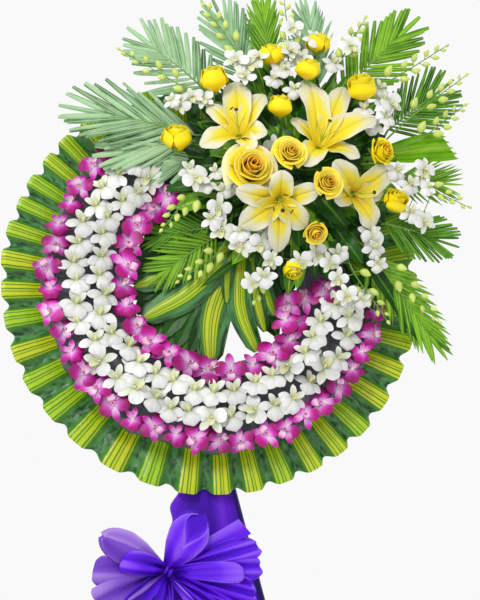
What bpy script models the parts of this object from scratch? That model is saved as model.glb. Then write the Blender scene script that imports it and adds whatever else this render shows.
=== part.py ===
"""A standing funeral wreath.

A ring of pleated striped leaves and threaded orchids hangs on a draped three-legged easel. A spray of
lilies, roses, orchid stems and palm fronds stands out of its upper right, and a bow is tied below it.

Everything is laid out in the wreath's own frame, which leans back with the easel:
u runs to the right, v up the wreath, and w out of its face, all in metres from the ring's centre.
"""
import math
import random

import bmesh
import bpy
from mathutils import Matrix, Vector
from mathutils.bvhtree import BVHTree

# Where the wreath stands and how it leans
HUB_HEIGHT = 1.06
LEAN = math.radians(9.0)
SHIFT_X = -0.0665
SHIFT_Y = -0.1046
GAP = 0.0004
SEED = 1755

# The ring, from the back to the front
BACKING_INNER = 0.186
BACKING_OUTER = 0.372
BACKING_BACK = -0.0345
BACKING_FRONT = -0.0225
FOAM_INNER = 0.177
FOAM_OUTER = 0.361
FOAM_BACK = BACKING_FRONT + GAP
FOAM_FRONT = 0.030
FOAM_ROUND = 0.008
FOAM_BLOCKS = 12
FOAM_NAMES = tuple(f"foam_block_{k + 1}" for k in range(FOAM_BLOCKS))
RING_STEPS = 30

# The pleated collar of striped leaves
COLLAR_INNER = FOAM_OUTER + GAP
COLLAR_RIDGE = 0.449
COLLAR_VALLEY = 0.431
COLLAR_BACK = BACKING_FRONT + GAP
COLLAR_THICK = 0.0018
PLEAT_INNER = 0.003
PLEAT_OUTER = 0.021
# Directions of the stripes that the front shows, and the even fan of those behind the spray
RIDGES_SEEN = (135.5, 141.9, 150.3, 156.9, 164.8, 172.9, 182.0, 190.7, 200.0, 209.0, 218.9, 229.0,
               240.5, 251.8, 262.0, 271.2, 280.2, 289.1, 297.9, 306.5, 315.2, 324.7, 334.6)
LEAVES_HIDDEN = 17

# The three coloured rows of threaded orchids
GARLAND_STARTS = {"magenta_outer": 127.0, "white": 119.0, "magenta_inner": 113.0}
GARLAND_END = 353.0
GARLAND_SPLIT = (205.0, 284.5)
GARLAND_TRIM = 0.15
STRIP_THICK = 0.002
ORCHID_RADIUS = 0.0295
ORCHID_HEIGHT = 0.019

# The foam dome that the spray is stuck into
DOME_U = 0.165
DOME_V = 0.215
DOME_RADIUS = 0.19
DOME_HEIGHT = 0.072
DOME_BACK = FOAM_FRONT + GAP
DOME_SIDES = 14
PEG_DEPTH = 0.014
HUB_LENGTH = 0.014
HUB_RADIUS = 0.0045

# The easel
EASEL_U = -0.0125
POLE_RADIUS = 0.0105
POLE_W = BACKING_BACK - GAP - POLE_RADIUS
LEG_SLOPE = 0.245
LEG_REF_V = -0.48
LEG_REF_SPREAD = 0.0565
HEAD_TOP = -0.285
HEAD_BOTTOM = -0.345
HEAD_HALF = 0.036
HEAD_DEEP = 0.016
SPINE_TOP = 0.40
REAR_FOOT_Y = 0.42
RAIL_V = -0.80
RAIL_RADIUS = 0.007

# The cloth skirt and the bow
SKIRT_TOP = -0.40
SKIRT_BOTTOM = -1.045
CLOTH_THICK = 0.002
KNOT = (-0.105, -0.594)

COLOURS = {
    "leaf_stripe": (0.12, 0.34, 0.05),
    "palm_pale": (0.22, 0.46, 0.24),
    "palm": (0.07, 0.27, 0.06),
    "orchid_magenta": (0.62, 0.01, 0.30),
    "orchid_white": (0.85, 0.86, 0.78),
    "rose_yellow": (0.92, 0.72, 0.03),
    "lily_yellow": (0.93, 0.80, 0.28),
    "foam_dark": (0.05, 0.06, 0.05),
    "bamboo": (0.55, 0.38, 0.18),
    "cloth_violet": (0.09, 0.01, 0.40),
    "bow_violet": (0.16, 0.02, 0.72),
}


def at(u, v, w):
    """A point of the wreath's frame in the coordinates of its empty."""
    return Vector((u, -w, v))


def on_ring(radius, degrees, w):
    angle = math.radians(degrees)
    return at(radius * math.cos(angle), radius * math.sin(angle), w)


def lerp(a, b, t):
    return a + (b - a) * t


def clear_scene():
    for obj in list(bpy.data.objects):
        bpy.data.objects.remove(obj, do_unlink=True)
    for group in list(bpy.data.collections):
        bpy.data.collections.remove(group)


def wreath_empty(collection):
    empty = bpy.data.objects.new("wreath_frame", None)
    collection.objects.link(empty)
    empty.location = (SHIFT_X, SHIFT_Y, HUB_HEIGHT)
    empty.rotation_euler = (-LEAN, 0.0, 0.0)
    return empty


def finish_material(name):
    material = bpy.data.materials.get(name)
    if material is None:
        material = bpy.data.materials.new(name)
        material.use_nodes = True
        shader = material.node_tree.nodes["Principled BSDF"]
        shader.inputs["Base Color"].default_value = (*COLOURS[name], 1.0)
        shader.inputs["Roughness"].default_value = 0.55
        shader.inputs["Metallic"].default_value = 0.0
        material.diffuse_color = (*COLOURS[name], 1.0)
    return material


def surface_tree(mesh, grow=0.0):
    """The triangles of a mesh as a search tree, with its surface moved out by a little."""
    bm = bmesh.new()
    bm.from_mesh(mesh)
    bmesh.ops.triangulate(bm, faces=bm.faces)
    bm.normal_update()
    for vert in bm.verts:
        vert.co += vert.normal * grow
    tree = BVHTree.FromBMesh(bm)
    bm.free()
    return tree


def is_inside(tree, point):
    """Whether a point lies in the solid of a tree, by the surfaces that a ray from it crosses."""
    ray = Vector((0.31, -0.85, 0.42)).normalized()
    crossings = 0
    start = point
    for _ in range(64):
        spot, _, _, _ = tree.ray_cast(start, ray)
        if spot is None:
            break
        crossings += 1
        start = spot + ray * 1e-6
    return crossings % 2 == 1


class Wreath:
    """Keeps the nodes made so far, so that each new piece can be bent clear of them."""

    def __init__(self):
        self.collection = bpy.data.collections.new("funeral_wreath")
        bpy.context.scene.collection.children.link(self.collection)
        self.frame = wreath_empty(self.collection)
        self.placed = {}

    def add(self, name, mesh, colour, pieces=()):
        """Make a node from a mesh and the pieces that are fused to it."""
        obj = bpy.data.objects.new(name, mesh)
        self.collection.objects.link(obj)
        obj.parent = self.frame
        if pieces:
            fuse(obj, pieces)
        obj.data.materials.clear()
        obj.data.materials.append(finish_material(colour))
        self.placed[name] = surface_tree(obj.data)
        return obj

    def grow(self, name, pieces):
        """Fuse more pieces to a node."""
        obj = self.collection.objects[name]
        colour = obj.data.materials[0]
        fuse(obj, pieces)
        obj.data.materials.clear()
        obj.data.materials.append(colour)
        self.placed[name] = surface_tree(obj.data)

    def is_clear(self, mesh, own=(), margin=0.0006):
        """Whether a mesh keeps off every node but its own ones."""
        tree = surface_tree(mesh, margin)
        probe = mesh.vertices[0].co
        for name, other in self.placed.items():
            if name in own:
                continue
            if tree.overlap(other) or is_inside(other, probe):
                return False
        return True


def fuse(obj, pieces):
    """Join closed pieces to an object with one Boolean union."""
    heap = bpy.data.collections.new(obj.name + "_pieces")
    bpy.context.scene.collection.children.link(heap)
    for number, mesh in enumerate(pieces):
        piece = bpy.data.objects.new(f"{obj.name}_piece_{number}", mesh)
        heap.objects.link(piece)
        piece.parent = obj.parent
    join = obj.modifiers.new("join", "BOOLEAN")
    join.operation = "UNION"
    join.operand_type = "COLLECTION"
    join.collection = heap
    join.solver = "MANIFOLD"
    bpy.context.view_layer.update()
    graph = bpy.context.evaluated_depsgraph_get()
    joined = bpy.data.meshes.new_from_object(obj.evaluated_get(graph))
    obj.modifiers.clear()
    obj.data = joined
    for piece in list(heap.objects):
        bpy.data.objects.remove(piece, do_unlink=True)
    bpy.data.collections.remove(heap)


# Solids that the pieces are made from


def to_mesh(bm, name="shape"):
    bmesh.ops.recalc_face_normals(bm, faces=bm.faces)
    if bm.calc_volume(signed=True) < 0.0:
        bmesh.ops.reverse_faces(bm, faces=bm.faces)
    mesh = bpy.data.meshes.new(name)
    bm.to_mesh(mesh)
    bm.free()
    return mesh


def skin(rings):
    """Close a solid over rings of points, which may begin or end in a single point."""
    bm = bmesh.new()
    rows = [[bm.verts.new(point) for point in ring] for ring in rings]
    for low, high in zip(rows, rows[1:]):
        count = max(len(low), len(high))
        for i in range(count):
            j = (i + 1) % count
            if len(low) == 1:
                bm.faces.new((low[0], high[i], high[j]))
            elif len(high) == 1:
                bm.faces.new((low[i], low[j], high[0]))
            else:
                bm.faces.new((low[i], low[j], high[j]))
                bm.faces.new((low[i], high[j], high[i]))
    for row in (rows[0], rows[-1]):
        if len(row) > 2:
            bm.faces.new(row)
    return to_mesh(bm)


def blade(spine, sides, normals, halves, thick):
    """A leaf or petal: a thin diamond section along a spine, pointed at its far end."""
    bm = bmesh.new()
    rows = []
    for centre, side, normal, half in zip(spine, sides, normals, halves):
        keel = normal * (thick / 2)
        rows.append([bm.verts.new(p) for p in
                     (centre - side * half, centre + keel, centre + side * half, centre - keel)])
    tip = bm.verts.new(spine[-1])
    for low, high in zip(rows, rows[1:]):
        for i, j in ((0, 1), (1, 2)):
            bm.faces.new((low[i], low[j], high[j]))
            bm.faces.new((low[i], high[j], high[i]))
        for i, j in ((0, 3), (3, 2)):
            bm.faces.new((low[i], high[j], low[j]))
            bm.faces.new((low[i], high[i], high[j]))
    last = rows[-1]
    for i, j in ((0, 1), (1, 2), (2, 3), (3, 0)):
        bm.faces.new((last[i], last[j], tip))
    bm.faces.new(rows[0])
    return to_mesh(bm)


def plate(points, triangles, lift):
    """A thin solid from an open surface, thickened both ways along one direction."""
    bm = bmesh.new()
    front = [bm.verts.new(p + lift) for p in points]
    back = [bm.verts.new(p - lift) for p in points]
    rim = {}
    for a, b, c in triangles:
        bm.faces.new((front[a], front[b], front[c]))
        bm.faces.new((back[a], back[c], back[b]))
        for edge in ((a, b), (b, c), (c, a)):
            if (edge[1], edge[0]) in rim:
                del rim[(edge[1], edge[0])]
            else:
                rim[edge] = True
    for a, b in rim:
        bm.faces.new((front[b], front[a], back[a]))
        bm.faces.new((front[b], back[a], back[b]))
    return to_mesh(bm)


def across(direction, facing=Vector((0.0, -1.0, 0.0))):
    """The two directions square to a run, the second as near as can be to the facing one."""
    run = direction.normalized()
    side = run.cross(facing)
    if side.length < 1e-4:
        side = run.cross(Vector((1.0, 0.0, 0.0)))
    side.normalize()
    return side, side.cross(run).normalized()


def curve_through(points, steps):
    """Points along a smooth curve through a few hand-placed ones."""
    knots = [points[0] * 2 - points[1], *points, points[-1] * 2 - points[-2]]
    path = []
    for k in range(1, len(knots) - 2):
        p0, p1, p2, p3 = knots[k - 1:k + 3]
        for i in range(steps):
            t = i / steps
            path.append(0.5 * ((2 * p1) + (p2 - p0) * t + (2 * p0 - 5 * p1 + 4 * p2 - p3) * t ** 2
                               + (3 * p1 - p0 - 3 * p2 + p3) * t ** 3))
    path.append(points[-1].copy())
    return path


def stem(path, start_radius, end_radius, sides=3):
    """A tapered stem along a path of points."""
    rings = []
    side, _ = across(path[1] - path[0])
    for i, point in enumerate(path):
        ahead = (path[min(i + 1, len(path) - 1)] - path[max(i - 1, 0)]).normalized()
        side = (side - ahead * side.dot(ahead)).normalized()
        rise = side.cross(ahead)
        radius = lerp(start_radius, end_radius, i / (len(path) - 1))
        rings.append([point + side * (radius * math.cos(2 * math.pi * k / sides))
                      + rise * (radius * math.sin(2 * math.pi * k / sides)) for k in range(sides)])
    return skin(rings)


def turned_ring(profile, steps):
    """A ring turned from a closed outline of radius and w."""
    bm = bmesh.new()
    outline = [bm.verts.new(on_ring(radius, 0.0, w)) for radius, w in profile]
    edges = [bm.edges.new((vert, outline[(i + 1) % len(outline)])) for i, vert in enumerate(outline)]
    bmesh.ops.spin(bm, geom=outline + edges, cent=at(0, 0, 0), axis=at(0, 0, 1), angle=2 * math.pi,
                   steps=steps, use_merge=True)
    return to_mesh(bm)


# The ring


def backing_ring(wreath):
    """The bamboo ring that the foam and the leaves are pinned to."""
    outline = ((BACKING_INNER, BACKING_BACK), (BACKING_INNER, BACKING_FRONT),
               (BACKING_OUTER, BACKING_FRONT), (BACKING_OUTER, BACKING_BACK))
    wreath.add("backing_ring", turned_ring(outline, RING_STEPS), "bamboo")


def foam_ring(wreath):
    """The straight blocks of dark foam that the orchid rows are pinned on, mitred into a ring."""
    half = math.radians(180.0 / FOAM_BLOCKS)
    inner = FOAM_INNER / math.cos(half)
    outline = ((inner, FOAM_BACK), (inner, FOAM_FRONT - FOAM_ROUND), (inner + FOAM_ROUND, FOAM_FRONT),
               (FOAM_OUTER - FOAM_ROUND, FOAM_FRONT), (FOAM_OUTER, FOAM_FRONT - FOAM_ROUND),
               (FOAM_OUTER, FOAM_BACK))
    trim = math.degrees(GAP / 2 / FOAM_INNER)
    for k, name in enumerate(FOAM_NAMES):
        ends = (360.0 * k / FOAM_BLOCKS + trim, 360.0 * (k + 1) / FOAM_BLOCKS - trim)
        rings = [[on_ring(radius, direction, w) for radius, w in outline] for direction in ends]
        wreath.add(name, skin(rings), "foam_dark")


def ridge_directions():
    """The directions of all the leaf ridges, once round, in degrees."""
    gap = (RIDGES_SEEN[0] + 360.0 - RIDGES_SEEN[-1]) / (LEAVES_HIDDEN + 1)
    hidden = [RIDGES_SEEN[-1] + gap * (k + 1) for k in range(LEAVES_HIDDEN)]
    return list(RIDGES_SEEN) + hidden


def collar_stations():
    """Each leaf from valley to ridge: direction, share of the pleat's height and reach."""
    ridges = ridge_directions()
    stations = []
    for k, ridge in enumerate(ridges):
        before = ridges[k - 1] if k else ridges[-1] - 360.0
        after = ridges[k + 1] if k + 1 < len(ridges) else ridges[0] + 360.0
        stations.append((lerp(before, ridge, 0.5), 0.0, COLLAR_VALLEY))
        stations.append((lerp(before, ridge, 0.84), 1.0, COLLAR_RIDGE - 0.003))
        stations.append((lerp(ridge, after, 0.16), 0.9, COLLAR_RIDGE))
    return stations


def collar_point(direction, share, reach, along):
    """A point on the back of the collar, from its inner edge at 0 to its rim at 1."""
    radius = lerp(COLLAR_INNER, reach, along)
    pleat = lerp(PLEAT_INNER, PLEAT_OUTER, along ** 0.8) * share
    return on_ring(radius, direction, COLLAR_BACK + pleat + COLLAR_THICK / 2)


def leaf_collar(wreath):
    """The pleated leaves, all round the foam."""
    points = []
    triangles = []
    for direction, share, reach in collar_stations():
        for along in (0.0, 1.0):
            points.append(collar_point(direction, share, reach, along))
    count = len(points)
    for a in range(0, count, 2):
        b = (a + 2) % count
        triangles.append((a, a + 1, b + 1))
        triangles.append((a, b + 1, b))
    lift = at(0.0, 0.0, COLLAR_THICK / 2)
    wreath.add("leaf_collar", plate(points, triangles, lift), "leaf_stripe")


# Orchids

# The outline of an open orchid: direction in degrees and reach as a share of its radius.
# The three sepals are pointed, the two petals are broad, and the notches lie between them.
ORCHID_NOTCH = 0.42
ORCHID_RIM = ((90, 0.95), (122, ORCHID_NOTCH), (146, 0.88), (174, 0.98), (198, ORCHID_NOTCH),
              (234, 0.95), (270, ORCHID_NOTCH), (306, 0.95), (342, ORCHID_NOTCH),
              (6, 0.98), (34, 0.88), (58, ORCHID_NOTCH))
NECK_DROP = 0.005
NECK_RADIUS = 0.0035
PETAL_CUP = 0.10
SEPAL_CUP = -0.06


def orchid(root, axis, turn, radius, height, lip=0.2, foot=0.0):
    """An open orchid: two petals and three sepals round a lip, on a short three-sided neck."""
    run = axis.normalized()
    side, rise = across(run, Vector((0.0, 0.0, 1.0)))
    heart = root + run * height

    def outward(degrees):
        bend = math.radians(degrees + turn)
        return side * math.cos(bend) + rise * math.sin(bend)

    bm = bmesh.new()
    front = bm.verts.new(heart + run * (radius * 0.30) + outward(270) * (radius * lip))
    rim = []
    for direction, reach in ORCHID_RIM:
        cup = PETAL_CUP if math.cos(math.radians(2 * direction)) > 0.2 else SEPAL_CUP
        rim.append(bm.verts.new(heart + outward(direction) * (radius * reach) + run * (radius * cup * reach)))
    neck = [bm.verts.new(heart - run * NECK_DROP + outward(direction) * NECK_RADIUS)
            for direction in (90, 210, 330)]
    for i, vert in enumerate(rim):
        after = rim[(i + 1) % len(rim)]
        here, there = neck[i * 3 // len(rim)], neck[((i + 1) % len(rim)) * 3 // len(rim)]
        bm.faces.new((vert, after, front))
        bm.faces.new((after, vert, here))
        if here is not there:
            bm.faces.new((after, here, there))
    if foot:
        ends = [bm.verts.new(root + outward(direction) * foot) for direction in (90, 210, 330)]
        bm.faces.new(ends)
    else:
        ends = [bm.verts.new(root)] * 3
    for k in range(3):
        j = (k + 1) % 3
        if foot:
            bm.faces.new((neck[j], neck[k], ends[k], ends[j]))
        else:
            bm.faces.new((neck[j], neck[k], ends[k]))
    return to_mesh(bm)


def strip(inner, outer, start, end):
    """The flat strip that a row's flowers are pinned through."""
    count = max(2, round((end - start) / 9.0))
    points = []
    triangles = []
    for k in range(count + 1):
        direction = lerp(start, end, k / count)
        points.append(on_ring(inner, direction, FOAM_FRONT + GAP + STRIP_THICK / 2))
        points.append(on_ring(outer, direction, FOAM_FRONT + GAP + STRIP_THICK / 2))
    for k in range(count):
        a = 2 * k
        triangles.append((a, a + 1, a + 3))
        triangles.append((a, a + 3, a + 2))
    return plate(points, triangles, at(0.0, 0.0, STRIP_THICK / 2))


def row_of_orchids(start, end, radius, pitch, phase, lean_out, lift, rng):
    """Orchids at an even pitch along one row, each turned and tilted a little."""
    step = math.degrees(pitch / radius)
    flowers = []
    direction = start + step * phase
    while direction < end - step * 0.35:
        spot = radius + rng.uniform(-0.003, 0.003)
        root = on_ring(spot, direction, FOAM_FRONT + GAP + STRIP_THICK * 0.4)
        outward = on_ring(1.0, direction, 0.0)
        axis = at(0.0, 0.0, 1.0) + outward * lean_out + at(rng.uniform(-0.1, 0.1), rng.uniform(-0.1, 0.1), 0)
        turn = rng.uniform(-40, 40)
        flowers.append(orchid(root, axis, turn, ORCHID_RADIUS, ORCHID_HEIGHT + lift, foot=0.002))
        direction += step
    return flowers


def garland(wreath):
    """Magenta, white and magenta rows round the ring, each on its own strip."""
    rng = random.Random(SEED)
    rows = {
        "magenta_outer": ("orchid_magenta", 0.335, 0.349, ((0.346, 0.053, 0.3, 0.22, -0.004),)),
        "white": ("orchid_white", 0.238, 0.302, ((0.2945, 0.0515, 0.5, 0.0, 0.013),
                                                 (0.2440, 0.0515, 0.2, 0.0, 0.016))),
        "magenta_inner": ("orchid_magenta", 0.189, 0.203, ((0.196, 0.0535, 0.45, -0.2, -0.004),)),
    }
    for row, (colour, inner, outer, lines) in rows.items():
        bounds = (GARLAND_STARTS[row], *GARLAND_SPLIT, GARLAND_END)
        runs = []
        for part in range(3):
            start = bounds[part] + GARLAND_TRIM
            end = bounds[part + 1] - GARLAND_TRIM
            flowers = []
            for radius, pitch, phase, lean_out, lift in lines:
                flowers += row_of_orchids(start, end, radius, pitch, phase, lean_out, lift, rng)
            runs.append((start, end, flowers))
        if row != "magenta_inner":
            runs = [(runs[0][0], runs[-1][1], [mesh for run in runs for mesh in run[2]])]
        for number, (start, end, flowers) in enumerate(runs):
            name = f"orchids_{row}_{number + 1}" if len(runs) > 1 else f"orchids_{row}"
            flowers = [mesh for mesh in flowers if wreath.is_clear(mesh, own=FOAM_NAMES)]
            wreath.add(name, strip(inner, outer, start, end), colour, flowers)


# The spray


def dome_solid():
    """The foam dome by itself."""
    rings = []
    for share in (0.0, 0.40, 0.72, 0.94):
        rise = DOME_HEIGHT * share
        radius = DOME_RADIUS * math.sqrt(1.0 - share ** 2)
        rings.append([at(DOME_U + radius * math.cos(2 * math.pi * k / DOME_SIDES),
                         DOME_V + radius * math.sin(2 * math.pi * k / DOME_SIDES), DOME_BACK + rise)
                      for k in range(DOME_SIDES)])
    return skin(rings)


def dome_height(u, v):
    """How far out the dome stands at a place, or its back where there is no dome."""
    share = math.hypot(u - DOME_U, v - DOME_V) / DOME_RADIUS
    return DOME_BACK + DOME_HEIGHT * math.sqrt(max(0.0, 1.0 - share ** 2))


def dome_root(u, v, depth):
    """A point in the dome under a place, or in its edge on the way to one beyond it."""
    away = Vector((u - DOME_U, v - DOME_V))
    reach = min(away.length, DOME_RADIUS * 0.80)
    if away.length > 1e-6:
        away.normalize()
    u0, v0 = DOME_U + away.x * reach, DOME_V + away.y * reach
    return at(u0, v0, dome_height(u0, v0) - depth)


def seat_on_dome(wreath, dome, near):
    """A short hub just off the dome's surface, at the clear spot next to a place."""
    for ring in range(5):
        for k in range(max(1, 6 * ring)):
            turn = 2 * math.pi * k / max(1, 6 * ring)
            step = 0.008 * ring
            spot = at(near[0] + step * math.cos(turn), near[1] + step * math.sin(turn), near[2])
            surface, out, _, _ = dome.find_nearest(spot)
            seat = surface + out * GAP
            hub = stem([seat, seat + out * HUB_LENGTH], HUB_RADIUS, HUB_RADIUS * 0.8, sides=5)
            if wreath.is_clear(hub, margin=0.0003):
                return hub, seat + out * (HUB_LENGTH * 0.6), out
    raise RuntimeError("no clear seat")


# Each rose: u, v, w, radius and how far it has opened
ROSES = {
    "rose_1": (-0.009, 0.408, 0.130, 0.028, 0.1),
    "rose_2": (-0.087, 0.275, 0.140, 0.028, 0.1),
    "rose_3": (0.116, 0.469, 0.120, 0.024, 0.2),
    "rose_4": (0.129, 0.346, 0.150, 0.023, 0.1),
    "rose_5": (0.220, 0.499, 0.120, 0.025, 0.3),
    "rose_6": (0.193, 0.432, 0.140, 0.023, 0.2),
    "rose_7": (0.305, 0.396, 0.140, 0.029, 0.2),
    "rose_8": (0.341, 0.249, 0.150, 0.029, 0.6),
    "rose_9": (0.138, 0.228, 0.200, 0.029, 0.9),
    "rose_10": (0.061, 0.201, 0.180, 0.043, 1.0),
    "rose_11": (0.212, 0.167, 0.200, 0.025, 0.8),
    "rose_12": (0.190, 0.068, 0.170, 0.027, 0.8),
    "rose_13": (0.370, 0.151, 0.130, 0.027, 0.2),
    "rose_14": (0.151, 0.004, 0.110, 0.021, 0.2),
}
ROSE_SIDES = 10
ROSE_CALYX = 0.95


def rose_axis(u, v):
    """Roses face out of the wreath and away from the middle of the spray."""
    lean = 0.9 if v < 0.05 else 0.55
    away = Vector((u - DOME_U, v - DOME_V)) / 0.25
    return at(away.x * lean, away.y * lean, 1.0).normalized()


def rose(centre, axis, radius, opened):
    """A rose: rings of five petals round a bud, closing to the stem."""
    side, rise = across(axis, Vector((0.0, 0.0, 1.0)))
    spread = lerp(0.80, 1.0, opened)
    # The height and reach of each ring, its petals' swing and their turn in degrees
    rings = (
        (0.66, 0.15, 0.00, 0), (lerp(0.44, 0.34, opened), 0.24, 0.10, 0),
        (lerp(0.66, 0.52, opened), 0.46, 0.09, 36), (lerp(0.42, 0.20, opened), 0.56, 0.10, 36),
        (lerp(0.52, 0.32, opened), 0.84 * spread, 0.10, 0),
        (lerp(0.10, 0.02, opened), 1.02 * spread, 0.08, 36), (-0.45, 0.62, 0.0, 0),
    )
    loops = [[centre + axis * (radius * 0.62)]]
    for height, reach, swing, turn in rings:
        loop = []
        for k in range(ROSE_SIDES):
            direction = 360.0 * k / ROSE_SIDES
            petal = 1.0 + swing * math.cos(math.radians(5 * (direction - turn)))
            bend = math.radians(direction)
            loop.append(centre + axis * (radius * height) + side * (radius * reach * petal * math.cos(bend))
                        + rise * (radius * reach * petal * math.sin(bend)))
        loops.append(loop)
    loops.append([centre - axis * (radius * ROSE_CALYX)])
    return skin(loops)


# Each lily: the throat's u, v and w, the way it faces, and its turn in degrees
LILIES = {
    "lily_1": ((0.043, 0.280, 0.132), (-0.16, 0.42, 0.88), 20),
    "lily_2": ((0.209, 0.262, 0.138), (0.14, 0.45, 0.86), 8),
    "lily_3": ((0.119, 0.145, 0.150), (-0.05, -0.45, 0.88), 30),
    "lily_4": ((0.281, 0.163, 0.130), (0.35, -0.15, 0.92), 15),
}
LILY_RADIUS = 0.092
LILY_NECK = 0.045
LILY_FOOT = 0.004
STAMEN_LENGTH = 0.062
# Six petals, six stamens and the pistil
LILY_PIECES = 13


def lily(throat, axis, turn):
    """A lily: three wide petals over three narrow ones on a funnel, with six stamens and a pistil."""
    side, rise = across(axis, Vector((0.0, 0.0, 1.0)))
    base = throat - axis * LILY_NECK

    def outward(degrees):
        bend = math.radians(degrees + turn)
        return side * math.cos(bend) + rise * math.sin(bend)

    funnel = skin([[base - axis * LILY_FOOT + outward(k * 60) * 0.004 for k in range(6)],
                   [throat - axis * 0.006 + outward(k * 60) * 0.014 for k in range(6)],
                   [throat + axis * 0.003]])
    pieces = []
    for k in range(6):
        wide = k % 2 == 0
        out = outward(k * 60)
        flank = axis.cross(out).normalized()
        rootward = 0.0 if wide else -0.004
        spine = [throat + out * (LILY_RADIUS * reach) + axis * (height + rootward)
                 for reach, height in ((0.06, -0.008), (0.36, 0.016), (0.70, 0.020), (1.0, 0.002))]
        normals = [(axis - out * 0.5).normalized(), (axis - out * 0.2).normalized(),
                   (axis + out * 0.2).normalized()]
        halves = (0.008, 0.023, 0.020) if wide else (0.007, 0.016, 0.014)
        pieces.append(blade(spine, [flank] * 3, normals, halves, 0.0026))
        foot = throat + out * 0.004 - axis * 0.003
        lean = (out * 0.30 + axis).normalized()
        pieces.append(stem([foot, foot + lean * STAMEN_LENGTH], 0.0009, 0.0028))
    pieces.append(stem([throat, throat + axis * (STAMEN_LENGTH * 1.25)], 0.0014, 0.0030))
    return funnel, pieces


def joined_mesh(meshes):
    """Several closed shapes as one loose mesh, to test them together."""
    bm = bmesh.new()
    for mesh in meshes:
        bm.from_mesh(mesh)
    return to_mesh(bm)


def place_blooms(wreath):
    """Set the roses and lilies on pegs from the foam dome."""
    dome = dome_solid()
    pegs = []
    for name, (u, v, w, radius, opened) in ROSES.items():
        axis = rose_axis(u, v)
        centre = at(u, v, w)
        foot = centre - axis * (radius * ROSE_CALYX + GAP)
        root = dome_root(u, v, PEG_DEPTH)
        lead = foot - axis * min(0.03, (foot - root).length * 0.4)
        pegs.append(stem([root, lead, foot], 0.0032, 0.0026))
        mesh = rose(centre, axis, radius, opened)
        wreath.add(name, mesh, "rose_yellow")
    wreath.placed["spray_foam"] = surface_tree(joined_mesh([dome, *pegs]))
    for name, (throat, facing, turn) in LILIES.items():
        axis = at(*facing).normalized()
        best = (0, None)
        for shift in (0.0, 0.008, -0.008, 0.016, 0.024, -0.014):
            if best[0] == LILY_PIECES:
                break
            for swing in (0, 5, -5, 10, -10, 15, -15, 20, -20, 25, -25, 30):
                spot = at(*throat) + axis * shift
                funnel, pieces = lily(spot, axis, turn + swing)
                kept = [piece for piece in pieces if wreath.is_clear(piece)]
                if len(kept) > best[0] and wreath.is_clear(funnel):
                    best = (len(kept), (spot, funnel, kept))
        spot, funnel, kept = best[1]
        foot = spot - axis * (LILY_NECK + LILY_FOOT + GAP)
        under = at(foot.x, foot.z, dome_height(foot.x, foot.z) - PEG_DEPTH)
        peg = stem([under, foot - axis * 0.012, foot], 0.0044, 0.0038)
        wreath.add(name, funnel, "lily_yellow", kept)
        pegs.append(peg)
        wreath.placed["spray_foam"] = surface_tree(joined_mesh([dome, *pegs]))
    wreath.add("spray_foam", dome, "foam_dark", pegs)


# Each palm node: its colour, the place on the dome that it leaves, then its fronds as base, tip,
# leaflet length, leaflets a side, and their angle to the rib
PALMS = {
    "palm_left": ("palm_pale", (0.005, 0.305, 0.060),
                  (((0.000, 0.382, 0.072), (-0.122, 0.490, 0.076), 0.088, 8, 42),
                   ((-0.040, 0.306, 0.076), (-0.252, 0.352, 0.080), 0.122, 8, 28))),
    "palm_top": ("palm", (0.110, 0.390, 0.055),
                 (((0.085, 0.420, 0.060), (0.030, 0.545, 0.066), 0.100, 7, 34),
                  ((0.122, 0.425, 0.060), (0.110, 0.570, 0.074), 0.075, 6, 28))),
    "palm_top_right": ("palm", (0.240, 0.380, 0.055),
                       (((0.225, 0.420, 0.060), (0.212, 0.560, 0.066), 0.080, 6, 28),
                        ((0.275, 0.405, 0.060), (0.400, 0.530, 0.076), 0.090, 7, 36))),
    "palm_right": ("palm", (0.345, 0.270, 0.055),
                   (((0.375, 0.325, 0.062), (0.476, 0.402, 0.070), 0.088, 6, 34),
                    ((0.385, 0.215, 0.062), (0.478, 0.205, 0.080), 0.074, 6, 34))),
    "palm_lower_right": ("palm", (0.320, 0.115, 0.055),
                         (((0.355, 0.115, 0.074), (0.462, 0.085, 0.080), 0.078, 6, 34),
                          ((0.320, 0.050, 0.076), (0.435, -0.120, 0.084), 0.085, 7, 30))),
}
# The broad leaves that end beyond the dome: base, tip and half width
BROAD_LEAVES = {
    "palm_right": ((0.385, 0.275, 0.070), (0.514, 0.296, 0.090), 0.027),
    "palm_lower_right": ((0.318, 0.035, 0.086), (0.412, -0.138, 0.090), 0.014),
}
COVER_LEAVES = 3
COVER_TRIES = 400
FROND_RIB = 0.0022
FROND_HALF_THICK = 0.0006


def frond(base, tip, length, count, angle):
    """A palm frond: pointed leaflets cut to the rib in one thin arched plate, in pairs along it."""
    run = tip - base
    unit = run.normalized()
    side, rise = across(run)
    swing = math.radians(angle)
    points = []
    triangles = []
    for k in range(count + 1):
        spot = base + run * (k / count) + rise * (0.012 * math.sin(math.pi * k / count))
        points += [spot - side * FROND_RIB, spot + side * FROND_RIB]
    for k in range(count):
        a, b = 2 * k, 2 * k + 2
        triangles += [(a, a + 1, b + 1), (a, b + 1, b)]
        reach = length * (0.72 + 0.5 * math.sin(math.pi * (0.15 + 0.75 * k / count)))
        for hand, low, high in ((-1, a, b), (1, a + 1, b + 1)):
            way = unit * math.cos(swing) + side * (hand * math.sin(swing)) - rise * 0.10
            points.append((points[low] + points[high]) / 2 + way * reach)
            end = len(points) - 1
            triangles.append((low, high, end) if hand < 0 else (high, low, end))
    return plate(points, triangles, rise * FROND_HALF_THICK)


def broad_leaf(points, half):
    """A broad leaf along four points, keeled and pointed."""
    sides = []
    normals = []
    for k in range(len(points) - 1):
        side, rise = across(points[k + 1] - points[max(k - 1, 0)])
        sides.append(side)
        normals.append(rise)
    return blade(points, sides, normals, (0.003, half, half * 0.9), LEAF_THICK)


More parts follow.
